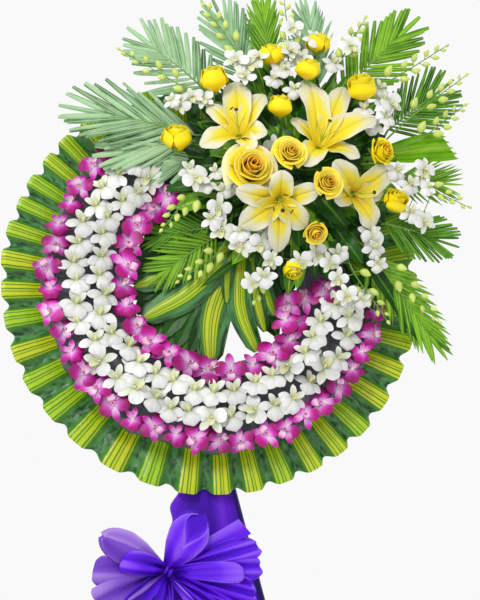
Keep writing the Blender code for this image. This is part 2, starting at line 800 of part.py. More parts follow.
def cover_dome(wreath, hubs):
    """Short broad leaves that lie low over the dome, fused to the hubs of the palms."""
    rng = random.Random(SEED + 4)
    for name, start, out in hubs:
        side, rise = across(out, Vector((0.0, 0.0, 1.0)))
        leaves = []
        trees = []
        for _ in range(COVER_TRIES):
            turn = rng.uniform(0.0, 2 * math.pi)
            way = side * math.cos(turn) + rise * math.sin(turn)
            reach = rng.uniform(0.05, 0.10)
            points = [start, start + way * (reach * 0.35) + out * rng.uniform(0.0, 0.03),
                      start + way * (reach * 0.7) + out * rng.uniform(0.0, 0.03),
                      start + way * reach + out * rng.uniform(-0.01, 0.03)]
            leaf = broad_leaf(points, reach * 0.23)
            tip = surface_tree(broad_leaf(points[1:] + [points[-1] + way * 0.001], reach * 0.2), 0.001)
            if wreath.is_clear(leaf, own=(name,)) and not any(tree.overlap(tip) for tree in trees):
                leaves.append(leaf)
                trees.append(tip)
            if len(leaves) == COVER_LEAVES:
                break
        wreath.grow(name, leaves)


def add_fronds(wreath, name, colour, hub, start, fronds):
    """Fuse a few fronds, each lifted until it is clear, to the hub that they leave."""
    meshes = []
    for base, tip, length, count, angle in fronds:
        for lift in (0.0, 0.005, -0.005, 0.010, -0.010, 0.015, 0.020, 0.026, 0.032):
            low = at(*base) + at(0, 0, lift * 0.5)
            high = at(*tip) + at(0, 0, lift)
            stalk = stem([start, low, low.lerp(high, 0.15)], 0.0032, 0.0026)
            leaf = frond(low, high, length, count, angle)
            if wreath.is_clear(leaf) and wreath.is_clear(stalk):
                meshes += [leaf, stalk]
                break
    if name in BROAD_LEAVES:
        base, tip, half = BROAD_LEAVES[name]
        for lift in (0.0, 0.005, -0.005, 0.010, -0.010, 0.015, 0.020, 0.026, 0.032):
            low = at(*base) + at(0, 0, lift)
            high = at(*tip) + at(0, 0, lift)
            leaf = broad_leaf([start, low, low.lerp(high, 0.5), high], half)
            if wreath.is_clear(leaf):
                meshes.append(leaf)
                break
    wreath.add(name, hub, colour, meshes)


def palms(wreath, dome):
    """The palm fronds, each pair on one hub at the dome, and the pair in the ring's opening."""
    hubs = []
    for name, (colour, near, fronds) in PALMS.items():
        hub, start, out = seat_on_dome(wreath, dome, near)
        add_fronds(wreath, name, colour, hub, start, fronds)
        hubs.append((name, start, out))
    back = at(0.045, 0.118, DOME_BACK - GAP)
    hub = stem([back, back - at(0, 0, 0.012)], HUB_RADIUS, HUB_RADIUS, sides=5)
    add_fronds(wreath, "palm_hole", "palm", hub, back - at(0, 0, 0.008),
               (((0.005, 0.106, 0.022), (-0.112, 0.082, 0.022), 0.055, 6, 34),
                ((0.005, 0.080, 0.010), (-0.098, 0.030, 0.006), 0.055, 6, 36)))
    return hubs


# The leaves in the ring's opening, bound together at their roots: spines as u, v and w, and half widths
HOLE_LEAVES = (
    (((0.050, 0.078, 0.0220), (-0.050, -0.020, 0.016), (-0.146, -0.075, 0.006)), 0.032),
    (((0.050, 0.082, 0.0240), (-0.080, 0.022, 0.018), (-0.166, -0.010, 0.006)), 0.026),
    (((0.058, 0.078, 0.0235), (0.000, -0.060, 0.008), (-0.008, -0.168, -0.006)), 0.038),
    (((0.062, 0.078, 0.0220), (0.054, -0.050, 0.018), (0.084, -0.146, 0.008)), 0.028),
    (((0.062, 0.080, 0.0240), (0.096, 0.010, 0.012), (0.128, -0.070, 0.004)), 0.022),
)
LEAF_TIE = (0.056, 0.080)
LEAF_TIE_RADIUS = 0.010
LEAF_THICK = 0.0022


def striped_leaf(spine_points, half):
    """A long blade that bends down along its spine."""
    path = curve_through([at(*point) for point in spine_points], 3)
    sides = []
    normals = []
    for i in range(len(path) - 1):
        side, rise = across(path[i + 1] - path[max(i - 1, 0)])
        sides.append(side)
        normals.append(rise)
    count = len(path) - 1
    halves = [half * (0.35 + 0.65 * math.sin(math.pi * (0.12 + 0.70 * i / count))) for i in range(count)]
    halves[0] = 0.006
    return blade(path, sides, normals, halves, LEAF_THICK)


def hole_leaves(wreath):
    """The striped leaves in the ring's opening, tied together under the dome."""
    back = at(*LEAF_TIE, DOME_BACK - GAP)
    tie = stem([back, back - at(0, 0, 0.014)], LEAF_TIE_RADIUS, LEAF_TIE_RADIUS, sides=6)
    wreath.add("striped_leaves", tie, "leaf_stripe",
               [striped_leaf(points, half) for points, half in HOLE_LEAVES])


# Each orchid spray: the place on the dome that it leaves, then its stems as points further out, with
# the number of open flowers and of buds on each
SPRAYS = {
    "spray_upper_left": ((0.050, 0.330, 0.090), ((((-0.040, 0.375, 0.112), (-0.197, 0.470, 0.108)), 3, 6),)),
    "spray_top": ((0.100, 0.370, 0.080), ((((0.062, 0.450, 0.104), (-0.025, 0.590, 0.100)), 2, 5),
                                          (((0.155, 0.460, 0.106), (0.152, 0.600, 0.100)), 2, 5))),
    "spray_top_right": ((0.240, 0.365, 0.080), ((((0.268, 0.460, 0.104), (0.325, 0.560, 0.100)), 2, 4),
                                                (((0.370, 0.420, 0.106), (0.500, 0.505, 0.098)), 2, 6))),
    "spray_right": ((0.335, 0.265, 0.080), ((((0.420, 0.345, 0.106), (0.540, 0.438, 0.098)), 2, 5),
                                            (((0.430, 0.292, 0.104), (0.535, 0.372, 0.096)), 2, 4),
                                            (((0.415, 0.200, 0.106), (0.530, 0.150, 0.098)), 2, 4))),
    "spray_lower_right": ((0.270, 0.095, 0.080), ((((0.350, 0.020, 0.106), (0.455, -0.095, 0.098)), 3, 4),
                                                  (((0.275, 0.010, 0.108), (0.345, -0.095, 0.100)), 3, 4))),
    "spray_lower_left": ((0.040, 0.150, 0.080), ((((-0.050, 0.160, 0.104), (-0.112, 0.095, 0.094)), 3, 4),
                                                 (((0.005, 0.050, 0.098), (-0.078, -0.012, 0.084)), 2, 4))),
    "spray_bottom": ((0.115, 0.065, 0.070), ((((0.092, 0.020, 0.096), (0.075, -0.050, 0.084)), 2, 2),)),
}
SPRAY_FLOWER_RADIUS = 0.027
SPRAY_FLOWER_HEIGHT = 0.014


def bud(root, axis, length):
    """A plump bud on a spray, pointed at both ends."""
    side, rise = across(axis)
    middle = root + axis * (length * 0.45)
    radius = length * 0.34
    ring = [middle + side * (radius * math.cos(2 * math.pi * k / 3))
            + rise * (radius * math.sin(2 * math.pi * k / 3)) for k in range(3)]
    return skin([[root], ring, [root + axis * length]])


def spray_bloom(path, number, flowers, buds, rng):
    """Tries for one flower or bud on a stem: flowers near its foot and buds out to its tip."""
    share = 0.30 + 0.69 * (number / (flowers + buds - 1)) ** 1.1
    place = share * (len(path) - 1)
    low = min(int(place), len(path) - 2)
    spot = path[low].lerp(path[low + 1], place - low)
    ahead = (path[low + 1] - path[low]).normalized()
    side, rise = across(ahead)
    hand = 1 if number % 2 else -1
    for attempt in range(16):
        out = side * (hand * rng.uniform(0.3, 0.9)) + rise * rng.uniform(0.3, 1.0) + ahead * 0.35
        if number < flowers:
            facing = (out.normalized() * 0.6 + at(0, 0, 1.0)).normalized()
            radius = SPRAY_FLOWER_RADIUS * rng.uniform(0.85, 1.08) * (1.0 - 0.03 * attempt)
            yield orchid(spot, facing, rng.uniform(-40, 40), radius, SPRAY_FLOWER_HEIGHT, lip=0.15)
        else:
            length = lerp(0.026, 0.015, (number - flowers) / buds)
            yield bud(spot, (out.normalized() + ahead * 0.7).normalized(), length)
        hand = -hand


def orchid_sprays(wreath, dome):
    """White orchid sprays, each of a few stems from one hub on the dome."""
    rng = random.Random(SEED + 7)
    for name, (near, branches) in SPRAYS.items():
        hub, start, out = seat_on_dome(wreath, dome, near)
        stems = []
        blooms = []
        for points, flowers, buds in branches:
            for lift in (0.0, 0.008, -0.006, 0.016, -0.012, 0.024, 0.032, 0.040, 0.050):
                path = curve_through([start] + [at(u, v, w + lift) for u, v, w in points], 2)
                tube = stem(path, 0.0024, 0.0015)
                if wreath.is_clear(tube):
                    break
            else:
                continue
            stems.append((path, tube, flowers, buds))
        for path, tube, flowers, buds in stems:
            others = [surface_tree(other, 0.0004) for _, other, _, _ in stems if other is not tube]
            for number in range(flowers + buds):
                for mesh in spray_bloom(path, number, flowers, buds, rng):
                    tree = surface_tree(mesh, 0.0004)
                    if not any(tree.overlap(other) for other in others) and wreath.is_clear(mesh):
                        blooms.append(mesh)
                        others.append(tree)
                        break
        wreath.add(name, hub, "orchid_white", [tube for _, tube, _, _ in stems] + blooms)


# The easel


def slide_until_clear(wreath, make, near, far, own=()):
    """The shape nearest to its start that keeps off everything, found by halving the way out."""
    for _ in range(14):
        middle = (near + far) / 2
        if wreath.is_clear(make(middle), own, margin=GAP):
            far = middle
        else:
            near = middle
    return far


def from_world(x, y, z):
    """A point of the room in the wreath's frame."""
    matrix = Matrix.Translation((SHIFT_X, SHIFT_Y, HUB_HEIGHT)) @ Matrix.Rotation(-LEAN, 4, "X")
    return matrix.inverted() @ Vector((x + SHIFT_X, y + SHIFT_Y, z))


def floor_v(w):
    """How far down the wreath's frame meets the floor at a given w."""
    return -(HUB_HEIGHT + w * math.sin(LEAN)) / math.cos(LEAN)


def pole(top, bottom, radius, cut_at_floor=False):
    """A round pole between two points, cut level where it stands on the floor."""
    axis = bottom - top
    bm = bmesh.new()
    bmesh.ops.create_cone(bm, cap_ends=True, segments=12, radius1=radius, radius2=radius,
                          depth=axis.length)
    turn = axis.to_track_quat("Z", "Y").to_matrix().to_4x4()
    bmesh.ops.transform(bm, matrix=Matrix.Translation((top + bottom) / 2) @ turn, verts=bm.verts)
    if cut_at_floor:
        up = from_world(0, 0, 1) - from_world(0, 0, 0)
        cut = bmesh.ops.bisect_plane(bm, geom=bm.verts[:] + bm.edges[:] + bm.faces[:],
                                     plane_co=from_world(0, 0, 0), plane_no=up, clear_inner=True)
        edges = [item for item in cut["geom_cut"] if isinstance(item, bmesh.types.BMEdge)]
        bmesh.ops.contextual_create(bm, geom=edges)
    return to_mesh(bm)


def leg_spread(v):
    return LEG_REF_SPREAD + LEG_SLOPE * (LEG_REF_V - v)


def easel(wreath):
    """Two front legs, a spine and a rear leg that meet in a block, with a rail between the legs."""
    below = 0.03
    for name, hand in (("leg_front_left", -1), ("leg_front_right", 1)):
        low_v = floor_v(POLE_W) - below
        top_v = HEAD_BOTTOM - GAP - POLE_RADIUS * 0.25
        top = at(EASEL_U + hand * leg_spread(top_v), top_v, POLE_W)
        bottom = at(EASEL_U + hand * leg_spread(low_v), low_v, POLE_W)
        wreath.add(name, pole(top, bottom, POLE_RADIUS, cut_at_floor=True), "bamboo")
    bm = bmesh.new()
    bmesh.ops.create_cube(bm, size=1.0)
    bmesh.ops.scale(bm, vec=(2 * HEAD_HALF, 2 * HEAD_DEEP, HEAD_TOP - HEAD_BOTTOM), verts=bm.verts)
    centre = at(EASEL_U, (HEAD_TOP + HEAD_BOTTOM) / 2, BACKING_BACK - GAP - HEAD_DEEP)
    bmesh.ops.translate(bm, vec=centre, verts=bm.verts)
    wreath.add("easel_head", to_mesh(bm), "bamboo")
    wreath.add("spine_pole", pole(at(EASEL_U, SPINE_TOP, POLE_W), at(EASEL_U, HEAD_TOP + GAP, POLE_W),
                                  POLE_RADIUS), "bamboo")
    head_back = BACKING_BACK - GAP - 2 * HEAD_DEEP
    foot = from_world(EASEL_U, REAR_FOOT_Y, 0.0)

    def rear_leg(back):
        top = at(EASEL_U, HEAD_TOP - 0.012, head_back - back)
        return pole(top, foot + (foot - top).normalized() * below, POLE_RADIUS, cut_at_floor=True)

    wreath.add("leg_rear", rear_leg(slide_until_clear(wreath, rear_leg, 0.0, 0.03)), "bamboo")
    reach = leg_spread(RAIL_V) - POLE_RADIUS / math.cos(math.atan(LEG_SLOPE)) - GAP * 2
    inset = RAIL_RADIUS * LEG_SLOPE
    wreath.add("rail_front", pole(at(EASEL_U - reach + inset, RAIL_V, POLE_W),
                                  at(EASEL_U + reach - inset, RAIL_V, POLE_W), RAIL_RADIUS), "bamboo")


def skirt(wreath):
    """The cloth that wraps the front legs, as a pleated shell open at the back."""
    wrap = POLE_RADIUS * 1.03 + 0.0006 + CLOTH_THICK
    columns = 14
    rows = 4
    bm = bmesh.new()
    grid = []
    for r in range(rows + 1):
        v = lerp(SKIRT_TOP, SKIRT_BOTTOM, r / rows)
        hw = leg_spread(v) + wrap
        line = [(-hw + 0.010, POLE_W - 0.018), (-hw, POLE_W - 0.002), (-hw + 0.006, POLE_W + 0.0125)]
        swing = lerp(0.002, 0.017, r / rows)
        for k in range(columns + 1):
            t = k / columns
            fold = 0.5 + 0.5 * math.cos(2 * math.pi * 3.5 * t + 0.4)
            front = POLE_W + 0.0145 + swing * fold * math.sin(math.pi * t) ** 0.5
            line.append((lerp(-hw + 0.016, hw - 0.016, t), front))
        line += [(hw - 0.006, POLE_W + 0.0125), (hw, POLE_W - 0.002), (hw - 0.010, POLE_W - 0.018)]
        grid.append([bm.verts.new(at(EASEL_U + u, v, w)) for u, w in line])
    for upper, lower in zip(grid, grid[1:]):
        for i in range(len(upper) - 1):
            bm.faces.new((upper[i], upper[i + 1], lower[i + 1], lower[i]))
    bmesh.ops.triangulate(bm, faces=bm.faces)
    bmesh.ops.solidify(bm, geom=bm.faces[:], thickness=CLOTH_THICK)
    wreath.add("cloth_skirt", to_mesh(bm), "cloth_violet")


# Each loop and tail of the bow: where its tip lies from the knot, how far out it stands, its half width
# and its depth
BOW_LOOPS = (
    ((-0.105, 0.100, 0.045), 0.026, 0.012), ((-0.150, 0.010, 0.045), 0.036, 0.016),
    ((-0.130, -0.075, 0.040), 0.040, 0.016), ((0.040, 0.112, 0.050), 0.040, 0.014),
    ((0.125, 0.082, 0.045), 0.026, 0.012), ((0.188, 0.035, 0.050), 0.034, 0.016),
    ((0.180, -0.045, 0.045), 0.040, 0.016), ((-0.065, -0.190, 0.040), 0.030, 0.007),
    ((0.010, -0.230, 0.045), 0.036, 0.007), ((0.085, -0.170, 0.045), 0.034, 0.007),
)
KNOT_SIZE = (0.040, 0.034, 0.046)
LOBE_START = 0.010
# Along each loop: how far, its width and its depth
LOBE_RINGS = ((0.0, 0.36, 0.42), (0.40, 0.82, 0.9), (0.80, 1.0, 0.9))
LOBE_ARCH = 0.012


def bow_lobe(start, tip, half, deep):
    """One loop of the bow: narrow at the knot, full further out and rounded at its end."""
    run = tip - start
    side, rise = across(run)
    rings = []
    for along, width, depth in LOBE_RINGS:
        centre = start + run * along + rise * (LOBE_ARCH * math.sin(math.pi * along))
        rings.append([centre + side * (half * width * math.cos(math.pi * k / 3))
                      + rise * (deep * depth * math.sin(math.pi * k / 3)) for k in range(6)])
    rings.append([tip])
    return skin(rings)


def bow_knot(w):
    """The bow's knot with its middle at a given w."""
    bm = bmesh.new()
    bmesh.ops.create_uvsphere(bm, u_segments=8, v_segments=6, radius=0.5)
    bmesh.ops.scale(bm, vec=KNOT_SIZE, verts=bm.verts)
    bmesh.ops.translate(bm, vec=at(*KNOT, w), verts=bm.verts)
    return to_mesh(bm)


def bow(wreath):
    """The bow, tied of one ribbon: its knot sits on the skirt's left edge, and its loops leave the knot."""
    middle = slide_until_clear(wreath, bow_knot, POLE_W, 0.05)
    u, v = KNOT
    heart = at(u, v, middle)
    lobes = [bow_lobe(heart + at(du, dv, 0.0).normalized() * LOBE_START, at(u + du, v + dv, dw), half, deep)
             for (du, dv, dw), half, deep in BOW_LOOPS]
    wreath.add("bow", bow_knot(middle), "bow_violet", lobes)


def main():
    clear_scene()
    wreath = Wreath()
    backing_ring(wreath)
    foam_ring(wreath)
    leaf_collar(wreath)
    easel(wreath)
    skirt(wreath)
    bow(wreath)
    garland(wreath)
    place_blooms(wreath)
    dome = surface_tree(dome_solid())
    hole_leaves(wreath)
    hubs = palms(wreath, dome)
    orchid_sprays(wreath, dome)
    cover_dome(wreath, hubs)


main()
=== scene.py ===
import math
import random

import bpy
import numpy as np
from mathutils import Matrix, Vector


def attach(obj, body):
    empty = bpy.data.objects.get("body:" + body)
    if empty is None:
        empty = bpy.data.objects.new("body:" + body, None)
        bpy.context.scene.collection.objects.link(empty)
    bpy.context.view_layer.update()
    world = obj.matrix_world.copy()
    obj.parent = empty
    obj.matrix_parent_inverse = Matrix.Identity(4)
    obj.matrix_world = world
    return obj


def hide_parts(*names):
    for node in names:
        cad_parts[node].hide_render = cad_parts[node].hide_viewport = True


# The looks of a standing funeral wreath: petals, leaves, cloth, light and camera.
# Shapes are laid out in the wreath's own frame, which leans back with the easel: u to the right, v up
# the wreath and w out of its face, in metres from the ring's centre.

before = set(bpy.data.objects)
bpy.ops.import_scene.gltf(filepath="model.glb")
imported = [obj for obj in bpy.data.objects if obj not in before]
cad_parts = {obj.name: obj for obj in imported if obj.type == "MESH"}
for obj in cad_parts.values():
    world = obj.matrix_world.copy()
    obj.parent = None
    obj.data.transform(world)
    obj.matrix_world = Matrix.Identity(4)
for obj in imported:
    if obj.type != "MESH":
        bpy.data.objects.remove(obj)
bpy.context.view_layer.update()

SEED = 1755
LEAN = math.radians(9.0)
RING_CENTRE = np.array([-0.0665, -0.1046, 1.06])
TO_ROOM = np.array([[1.0, 0.0, 0.0],
                    [0.0, math.sin(LEAN), math.cos(LEAN)],
                    [0.0, -math.cos(LEAN), math.sin(LEAN)]])
FACE_OUT = (0.0, 0.0, 1.0)
# The angle by which each leaf or bloom of a spiral turns on from the one before
GOLDEN_TURN = 137.5


# Camera

CAMERA_PLACE = (-0.4573, -3.2893, 0.85)
CAMERA_AIM = (-0.0119, -0.1204, 1.0242)
CAMERA_LENS = 91.56


def aimed(place, target):
    """The turn that looks from a place at a target."""
    return (Vector(target) - Vector(place)).to_track_quat("-Z", "Y").to_euler()


camera_data = bpy.data.cameras.new("camera")
camera_data.lens = CAMERA_LENS
camera = bpy.data.objects.new("camera", camera_data)
camera.location = CAMERA_PLACE
camera.rotation_euler = aimed(CAMERA_PLACE, CAMERA_AIM)
bpy.context.scene.collection.objects.link(camera)
bpy.context.scene.camera = camera


# Small helpers


def unit(vector):
    vector = np.asarray(vector, float)
    return vector / np.maximum(np.linalg.norm(vector, axis=-1, keepdims=True), 1e-9)


def lerp(a, b, t):
    return a + (b - a) * t


def smooth(low, high, value):
    t = np.clip((np.asarray(value, float) - low) / (high - low), 0.0, 1.0)
    return t * t * (3.0 - 2.0 * t)


def hump(value, middle, width):
    """A soft hump of height 1 round a middle."""
    return np.exp(-((value - middle) / width) ** 2)


def wave(value):
    """A half wave: 0 at 0 and at 1, and 1 between them."""
    return np.sin(math.pi * value)


def grid_lines(columns, rows):
    """The places across a grid, from -1 to 1 in a row, and along it, from 0 to 1 in a column."""
    return np.linspace(-1.0, 1.0, columns)[None], np.linspace(0.0, 1.0, rows)[:, None]


def on_ring(radius, degrees, w):
    angle = np.radians(degrees)
    return np.stack(np.broadcast_arrays(radius * np.cos(angle), radius * np.sin(angle), w), -1)


def axes_along(ahead):
    """The side and the rise that go with a way ahead, for something that faces out of the wreath."""
    side = unit(np.cross(ahead, FACE_OUT))
    return side, np.cross(side, ahead)


def facing(axis, up=(0.0, 1.0, 0.0)):
    """The rows of a turn that takes z to an axis and keeps y as near as can be to up."""
    axis = unit(axis)
    side = unit(np.cross(up, axis))
    return np.stack((side, np.cross(axis, side), axis))


def spun(degrees):
    """A turn about z."""
    c = math.cos(math.radians(degrees))
    s = math.sin(math.radians(degrees))
    return np.array([[c, s, 0.0], [-s, c, 0.0], [0.0, 0.0, 1.0]])


def curve(points, steps):
    """A smooth curve through a few points."""
    points = np.asarray(points, float)
    knots = np.vstack((2 * points[0] - points[1], points, 2 * points[-1] - points[-2]))
    t = np.linspace(0.0, 1.0, steps, endpoint=False)[:, None]
    runs = []
    for p0, p1, p2, p3 in zip(knots, knots[1:], knots[2:], knots[3:]):
        runs.append(0.5 * (2 * p1 + (p2 - p0) * t + (2 * p0 - 5 * p1 + 4 * p2 - p3) * t ** 2
                           + (3 * p1 - p0 - 3 * p2 + p3) * t ** 3))
    return np.vstack(runs + [points[-1:]])


def bezier(a, b, c, d, count):
    t = np.linspace(0.0, 1.0, count)[:, None]
    return a * (1 - t) ** 3 + 3 * b * t * (1 - t) ** 2 + 3 * c * t ** 2 * (1 - t) + d * t ** 3


# Shapes


class Shape:
    """Points and faces, with each point's place on its petal and tone, and each face's finish."""

    def __init__(self, points, faces, places, tone=0.5, finish=0):
        self.points = np.asarray(points, float)
        self.faces = np.asarray(faces, int)
        self.places = np.asarray(places, float)
        self.tones = np.broadcast_to(np.asarray(tone, float), len(self.points)).copy()
        self.finishes = np.broadcast_to(np.asarray(finish, int), len(self.faces)).copy()

    def moved(self, matrix, origin=(0.0, 0.0, 0.0), tone=0.5):
        """A copy that is turned, then moved, with its tones shifted by how far tone is from the middle."""
        tones = np.clip(self.tones + tone - 0.5, 0.0, 1.0)
        points = self.points @ matrix + np.asarray(origin, float)
        return Shape(points, self.faces, self.places, tones, self.finishes)


def join(shapes):
    start = 0
    faces = []
    for shape in shapes:
        faces.append(np.where(shape.faces < 0, -1, shape.faces + start))
        start += len(shape.points)
    return Shape(np.vstack([shape.points for shape in shapes]), np.vstack(faces),
                 np.vstack([shape.places for shape in shapes]),
                 np.concatenate([shape.tones for shape in shapes]),
                 np.concatenate([shape.finishes for shape in shapes]))


def slab(grid, thick, tone=0.5, finish=0):
    """A thin closed shell over a grid of points."""
    rows, columns = grid.shape[:2]
    normal = unit(np.cross(np.gradient(grid, axis=1), np.gradient(grid, axis=0)))
    half = normal * (thick / 2)
    points = np.stack((grid + half, grid - half)).reshape(-1, 3)
    count = rows * columns
    number = np.arange(count).reshape(rows, columns)
    front = np.stack((number[:-1, :-1], number[:-1, 1:], number[1:, 1:], number[1:, :-1]), -1).reshape(-1, 4)
    ring = np.concatenate((number[0, :-1], number[:-1, -1], number[-1, :0:-1], number[:0:-1, 0]))
    after = np.roll(ring, -1)
    rim = np.stack((after, ring, ring + count, after + count), -1)
    across, along = np.meshgrid(np.linspace(0.0, 1.0, columns), np.linspace(0.0, 1.0, rows))
    places = np.stack((across.ravel(), along.ravel()), -1)
    tones = np.tile(np.broadcast_to(tone, (rows, columns)).ravel(), 2)
    faces = np.vstack((front, front[:, ::-1] + count, rim))
    return Shape(points, faces, np.tile(places, (2, 1)), tones, finish)


def tube(path, radii, sides=6, tone=0.5, finish=0):
    """A round stem along a path."""
    path = np.asarray(path, float)
    radii = np.broadcast_to(np.asarray(radii, float), len(path))
    ahead = unit(np.gradient(path, axis=0))
    guide = FACE_OUT if abs(ahead[0][2]) < 0.9 else (1.0, 0.0, 0.0)
    side = unit(np.cross(ahead, guide))
    rise = np.cross(side, ahead)
    angle = np.linspace(0.0, 2 * math.pi, sides, endpoint=False)[None, :, None]
    spokes = np.cos(angle) * side[:, None] + np.sin(angle) * rise[:, None]
    rings = path[:, None] + radii[:, None, None] * spokes
    points = np.vstack((rings.reshape(-1, 3), path[:1], path[-1:]))
    number = np.arange(len(path) * sides).reshape(len(path), sides)
    after = np.roll(number, -1, axis=1)
    walls = np.stack((number[:-1], number[1:], after[1:], after[:-1]), -1).reshape(-1, 4)
    none = np.full(sides, -1)
    foot = np.stack((number[0], after[0], np.full(sides, len(points) - 2), none), -1)
    head = np.stack((after[-1], number[-1], np.full(sides, len(points) - 1), none), -1)
    along = np.repeat(np.linspace(0.0, 1.0, len(path)), sides)
    around = np.tile(np.linspace(0.0, 1.0, sides, endpoint=False), len(path))
    places = np.vstack((np.stack((around, along), -1), [[0.5, 0.0], [0.5, 1.0]]))
    return Shape(points, np.vstack((walls, foot, head)), places, tone, finish)


def blade(spine, look, halves, columns=5, fold=0.0, cup=0.0, ripple=0.0):
    """A grid of points across a spine: folded, cupped or rippled as shares of its half width."""
    ahead = unit(np.gradient(spine, axis=0))
    side = unit(np.cross(ahead, np.broadcast_to(look, ahead.shape)))[:, None]
    rise = np.cross(side, ahead[:, None])
    s = np.linspace(-1.0, 1.0, columns)
    height = fold * np.abs(s) + cup * s ** 2 + ripple
    halves = np.asarray(halves, float)[:, None]
    return spine[:, None] + side * (halves * s)[..., None] + rise * (halves * height)[..., None]


def build(name, shapes, finishes, node):
    """Join shapes in an object that rides on the wreath, in place of a CAD node."""
    shape = join(shapes)
    mesh = bpy.data.meshes.new(name)
    points = shape.points @ TO_ROOM + RING_CENTRE
    faces = [face if face[3] >= 0 else face[:3] for face in shape.faces.tolist()]
    mesh.from_pydata(points.tolist(), [], faces)
    corners = np.zeros(len(mesh.loops), int)
    mesh.loops.foreach_get("vertex_index", corners)
    layer = mesh.uv_layers.new(name="UVMap")
    layer.data.foreach_set("uv", shape.places[corners].astype(np.float32).ravel())
    tone = mesh.attributes.new("tone", "FLOAT", "POINT")
    tone.data.foreach_set("value", shape.tones.astype(np.float32))
    for finish in finishes:
        mesh.materials.append(finish)
    mesh.polygons.foreach_set("material_index", shape.finishes.astype(np.int32))
    mesh.shade_smooth()
    mesh.set_sharp_from_angle(angle=math.radians(60.0))
    mesh.update()
    piece = bpy.data.objects.new(name, mesh)
    bpy.context.scene.collection.objects.link(piece)
    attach(piece, "root")
    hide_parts(node)
    return piece


# Materials. A colour is a hex string as a picture has it, or a number for a grey.


def light_of(colour):
    """A colour as light."""
    if not isinstance(colour, str):
        return (colour, colour, colour, 1.0)
    values = [int(colour[k:k + 2], 16) / 255.0 for k in (0, 2, 4)]
    light = [value / 12.92 if value <= 0.04045 else ((value + 0.055) / 1.055) ** 2.4 for value in values]
    return (*light, 1.0)


class Finish:
    """A material. Each helper adds nodes and gives back what they put out."""

    def __init__(self, name, rough, specular):
        self.material = bpy.data.materials.new(name)
        self.material.use_nodes = True
        self.tree = self.material.node_tree
        self.shader = self.tree.nodes["Principled BSDF"]
        self.shader.inputs["Roughness"].default_value = rough
        self.shader.inputs["Specular IOR Level"].default_value = specular
        self.texture = self.node("ShaderNodeTexCoord")
        self.object_place = self.texture.outputs["Object"]
        # How far across and along its petal or leaf a point is
        self.across, self.along = self.split(self.texture.outputs["UV"])[:2]
        self.tone = self.node("ShaderNodeAttribute", attribute_name="tone").outputs["Fac"]

    def node(self, kind, links=(), **settings):
        made = self.tree.nodes.new(kind)
        for key, value in settings.items():
            setattr(made, key, value)
        for socket, value in dict(links).items():
            self.feed(made.inputs[socket], value)
        return made

    def feed(self, socket, value):
        if isinstance(value, bpy.types.NodeSocket):
            self.tree.links.new(value, socket)
        elif socket.type == "RGBA":
            socket.default_value = light_of(value)
        else:
            socket.default_value = value

    def split(self, vector):
        return self.node("ShaderNodeSeparateXYZ", {0: vector}).outputs[:]

    def combine(self, x, y, z=0.0):
        return self.node("ShaderNodeCombineXYZ", {0: x, 1: y, 2: z}).outputs[0]

    def maths(self, operation, a, b=0.0, c=0.0):
        return self.node("ShaderNodeMath", {0: a, 1: b, 2: c}, operation=operation).outputs[0]

    def times(self, a, b, more=0.0):
        """One value times another, and more."""
        return self.maths("MULTIPLY_ADD", a, b, more)

    def off_rib(self):
        """How far a point is from its leaf's middle: 0 there and 0.5 at the edges."""
        return self.maths("ABSOLUTE", self.maths("SUBTRACT", self.across, 0.5))

    def noise(self, vector, scale, detail=2.0):
        links = {"Vector": vector, "Scale": scale, "Detail": detail}
        return self.node("ShaderNodeTexNoise", links).outputs["Fac"]

    def veins(self, count, scale, detail):
        """Noise drawn out into lines along the petal or leaf, each piece with its own."""
        return self.noise(self.combine(self.times(self.across, count), self.along, self.tone), scale, detail)

    def ramp(self, factor, stops):
        made = self.node("ShaderNodeValToRGB", {0: factor})
        elements = made.color_ramp.elements
        elements[0].position = stops[0][0]
        elements[0].color = light_of(stops[0][1])
        elements[1].position = stops[-1][0]
        elements[1].color = light_of(stops[-1][1])
        for position, colour in stops[1:-1]:
            elements.new(position).color = light_of(colour)
        return made.outputs[0]

    def fade(self, factor, black, white):
        """Black at one value of a factor and white at another."""
        return self.ramp(factor, sorted(((black, 0.0), (white, 1.0))))

    def mix(self, factor, a, b, blend="MIX"):
        made = self.node("ShaderNodeMix", data_type="RGBA", blend_type=blend)
        self.feed(made.inputs["Factor"], factor)
        self.feed(made.inputs[6], a)
        self.feed(made.inputs[7], b)
        return made.outputs[2]

    def shaded(self, body, low, high):
        """A colour dimmed by the piece's tone."""
        return self.mix(1.0, body, self.ramp(self.tone, ((0.0, low), (1.0, high))), "MULTIPLY")

    def done(self, body, height, distance, strength):
        """Set the colour and the relief."""
        made = self.node("ShaderNodeBump", {"Height": height, "Distance": distance, "Strength": strength})
        self.feed(self.shader.inputs["Base Color"], body)
        self.feed(self.shader.inputs["Normal"], made.outputs[0])
        return self.material


def petal_finish(name, stops, vein, vein_share, shade, relief=0.0006):
    """A petal: colours along it, veins that fan along it, and a dimming by the piece's tone: each flower's
    own shade, and on roses also painted shade towards the heart.
    """
    made = Finish(name, 0.42, 0.35)
    veins = made.veins(9.0, 2.2, 3.0)
    body = made.mix(made.times(made.fade(veins, 0.45, 0.7), vein_share), made.ramp(made.along, stops), vein)
    return made.done(made.shaded(body, *shade), veins, relief, 0.6)


# How every lily's petals go on after their heart
LILY_EDGES = ((0.50, "f8e000"), (0.64, "f0e250"), (0.76, "e8e4b4"), (1.0, "e6e4d4"))


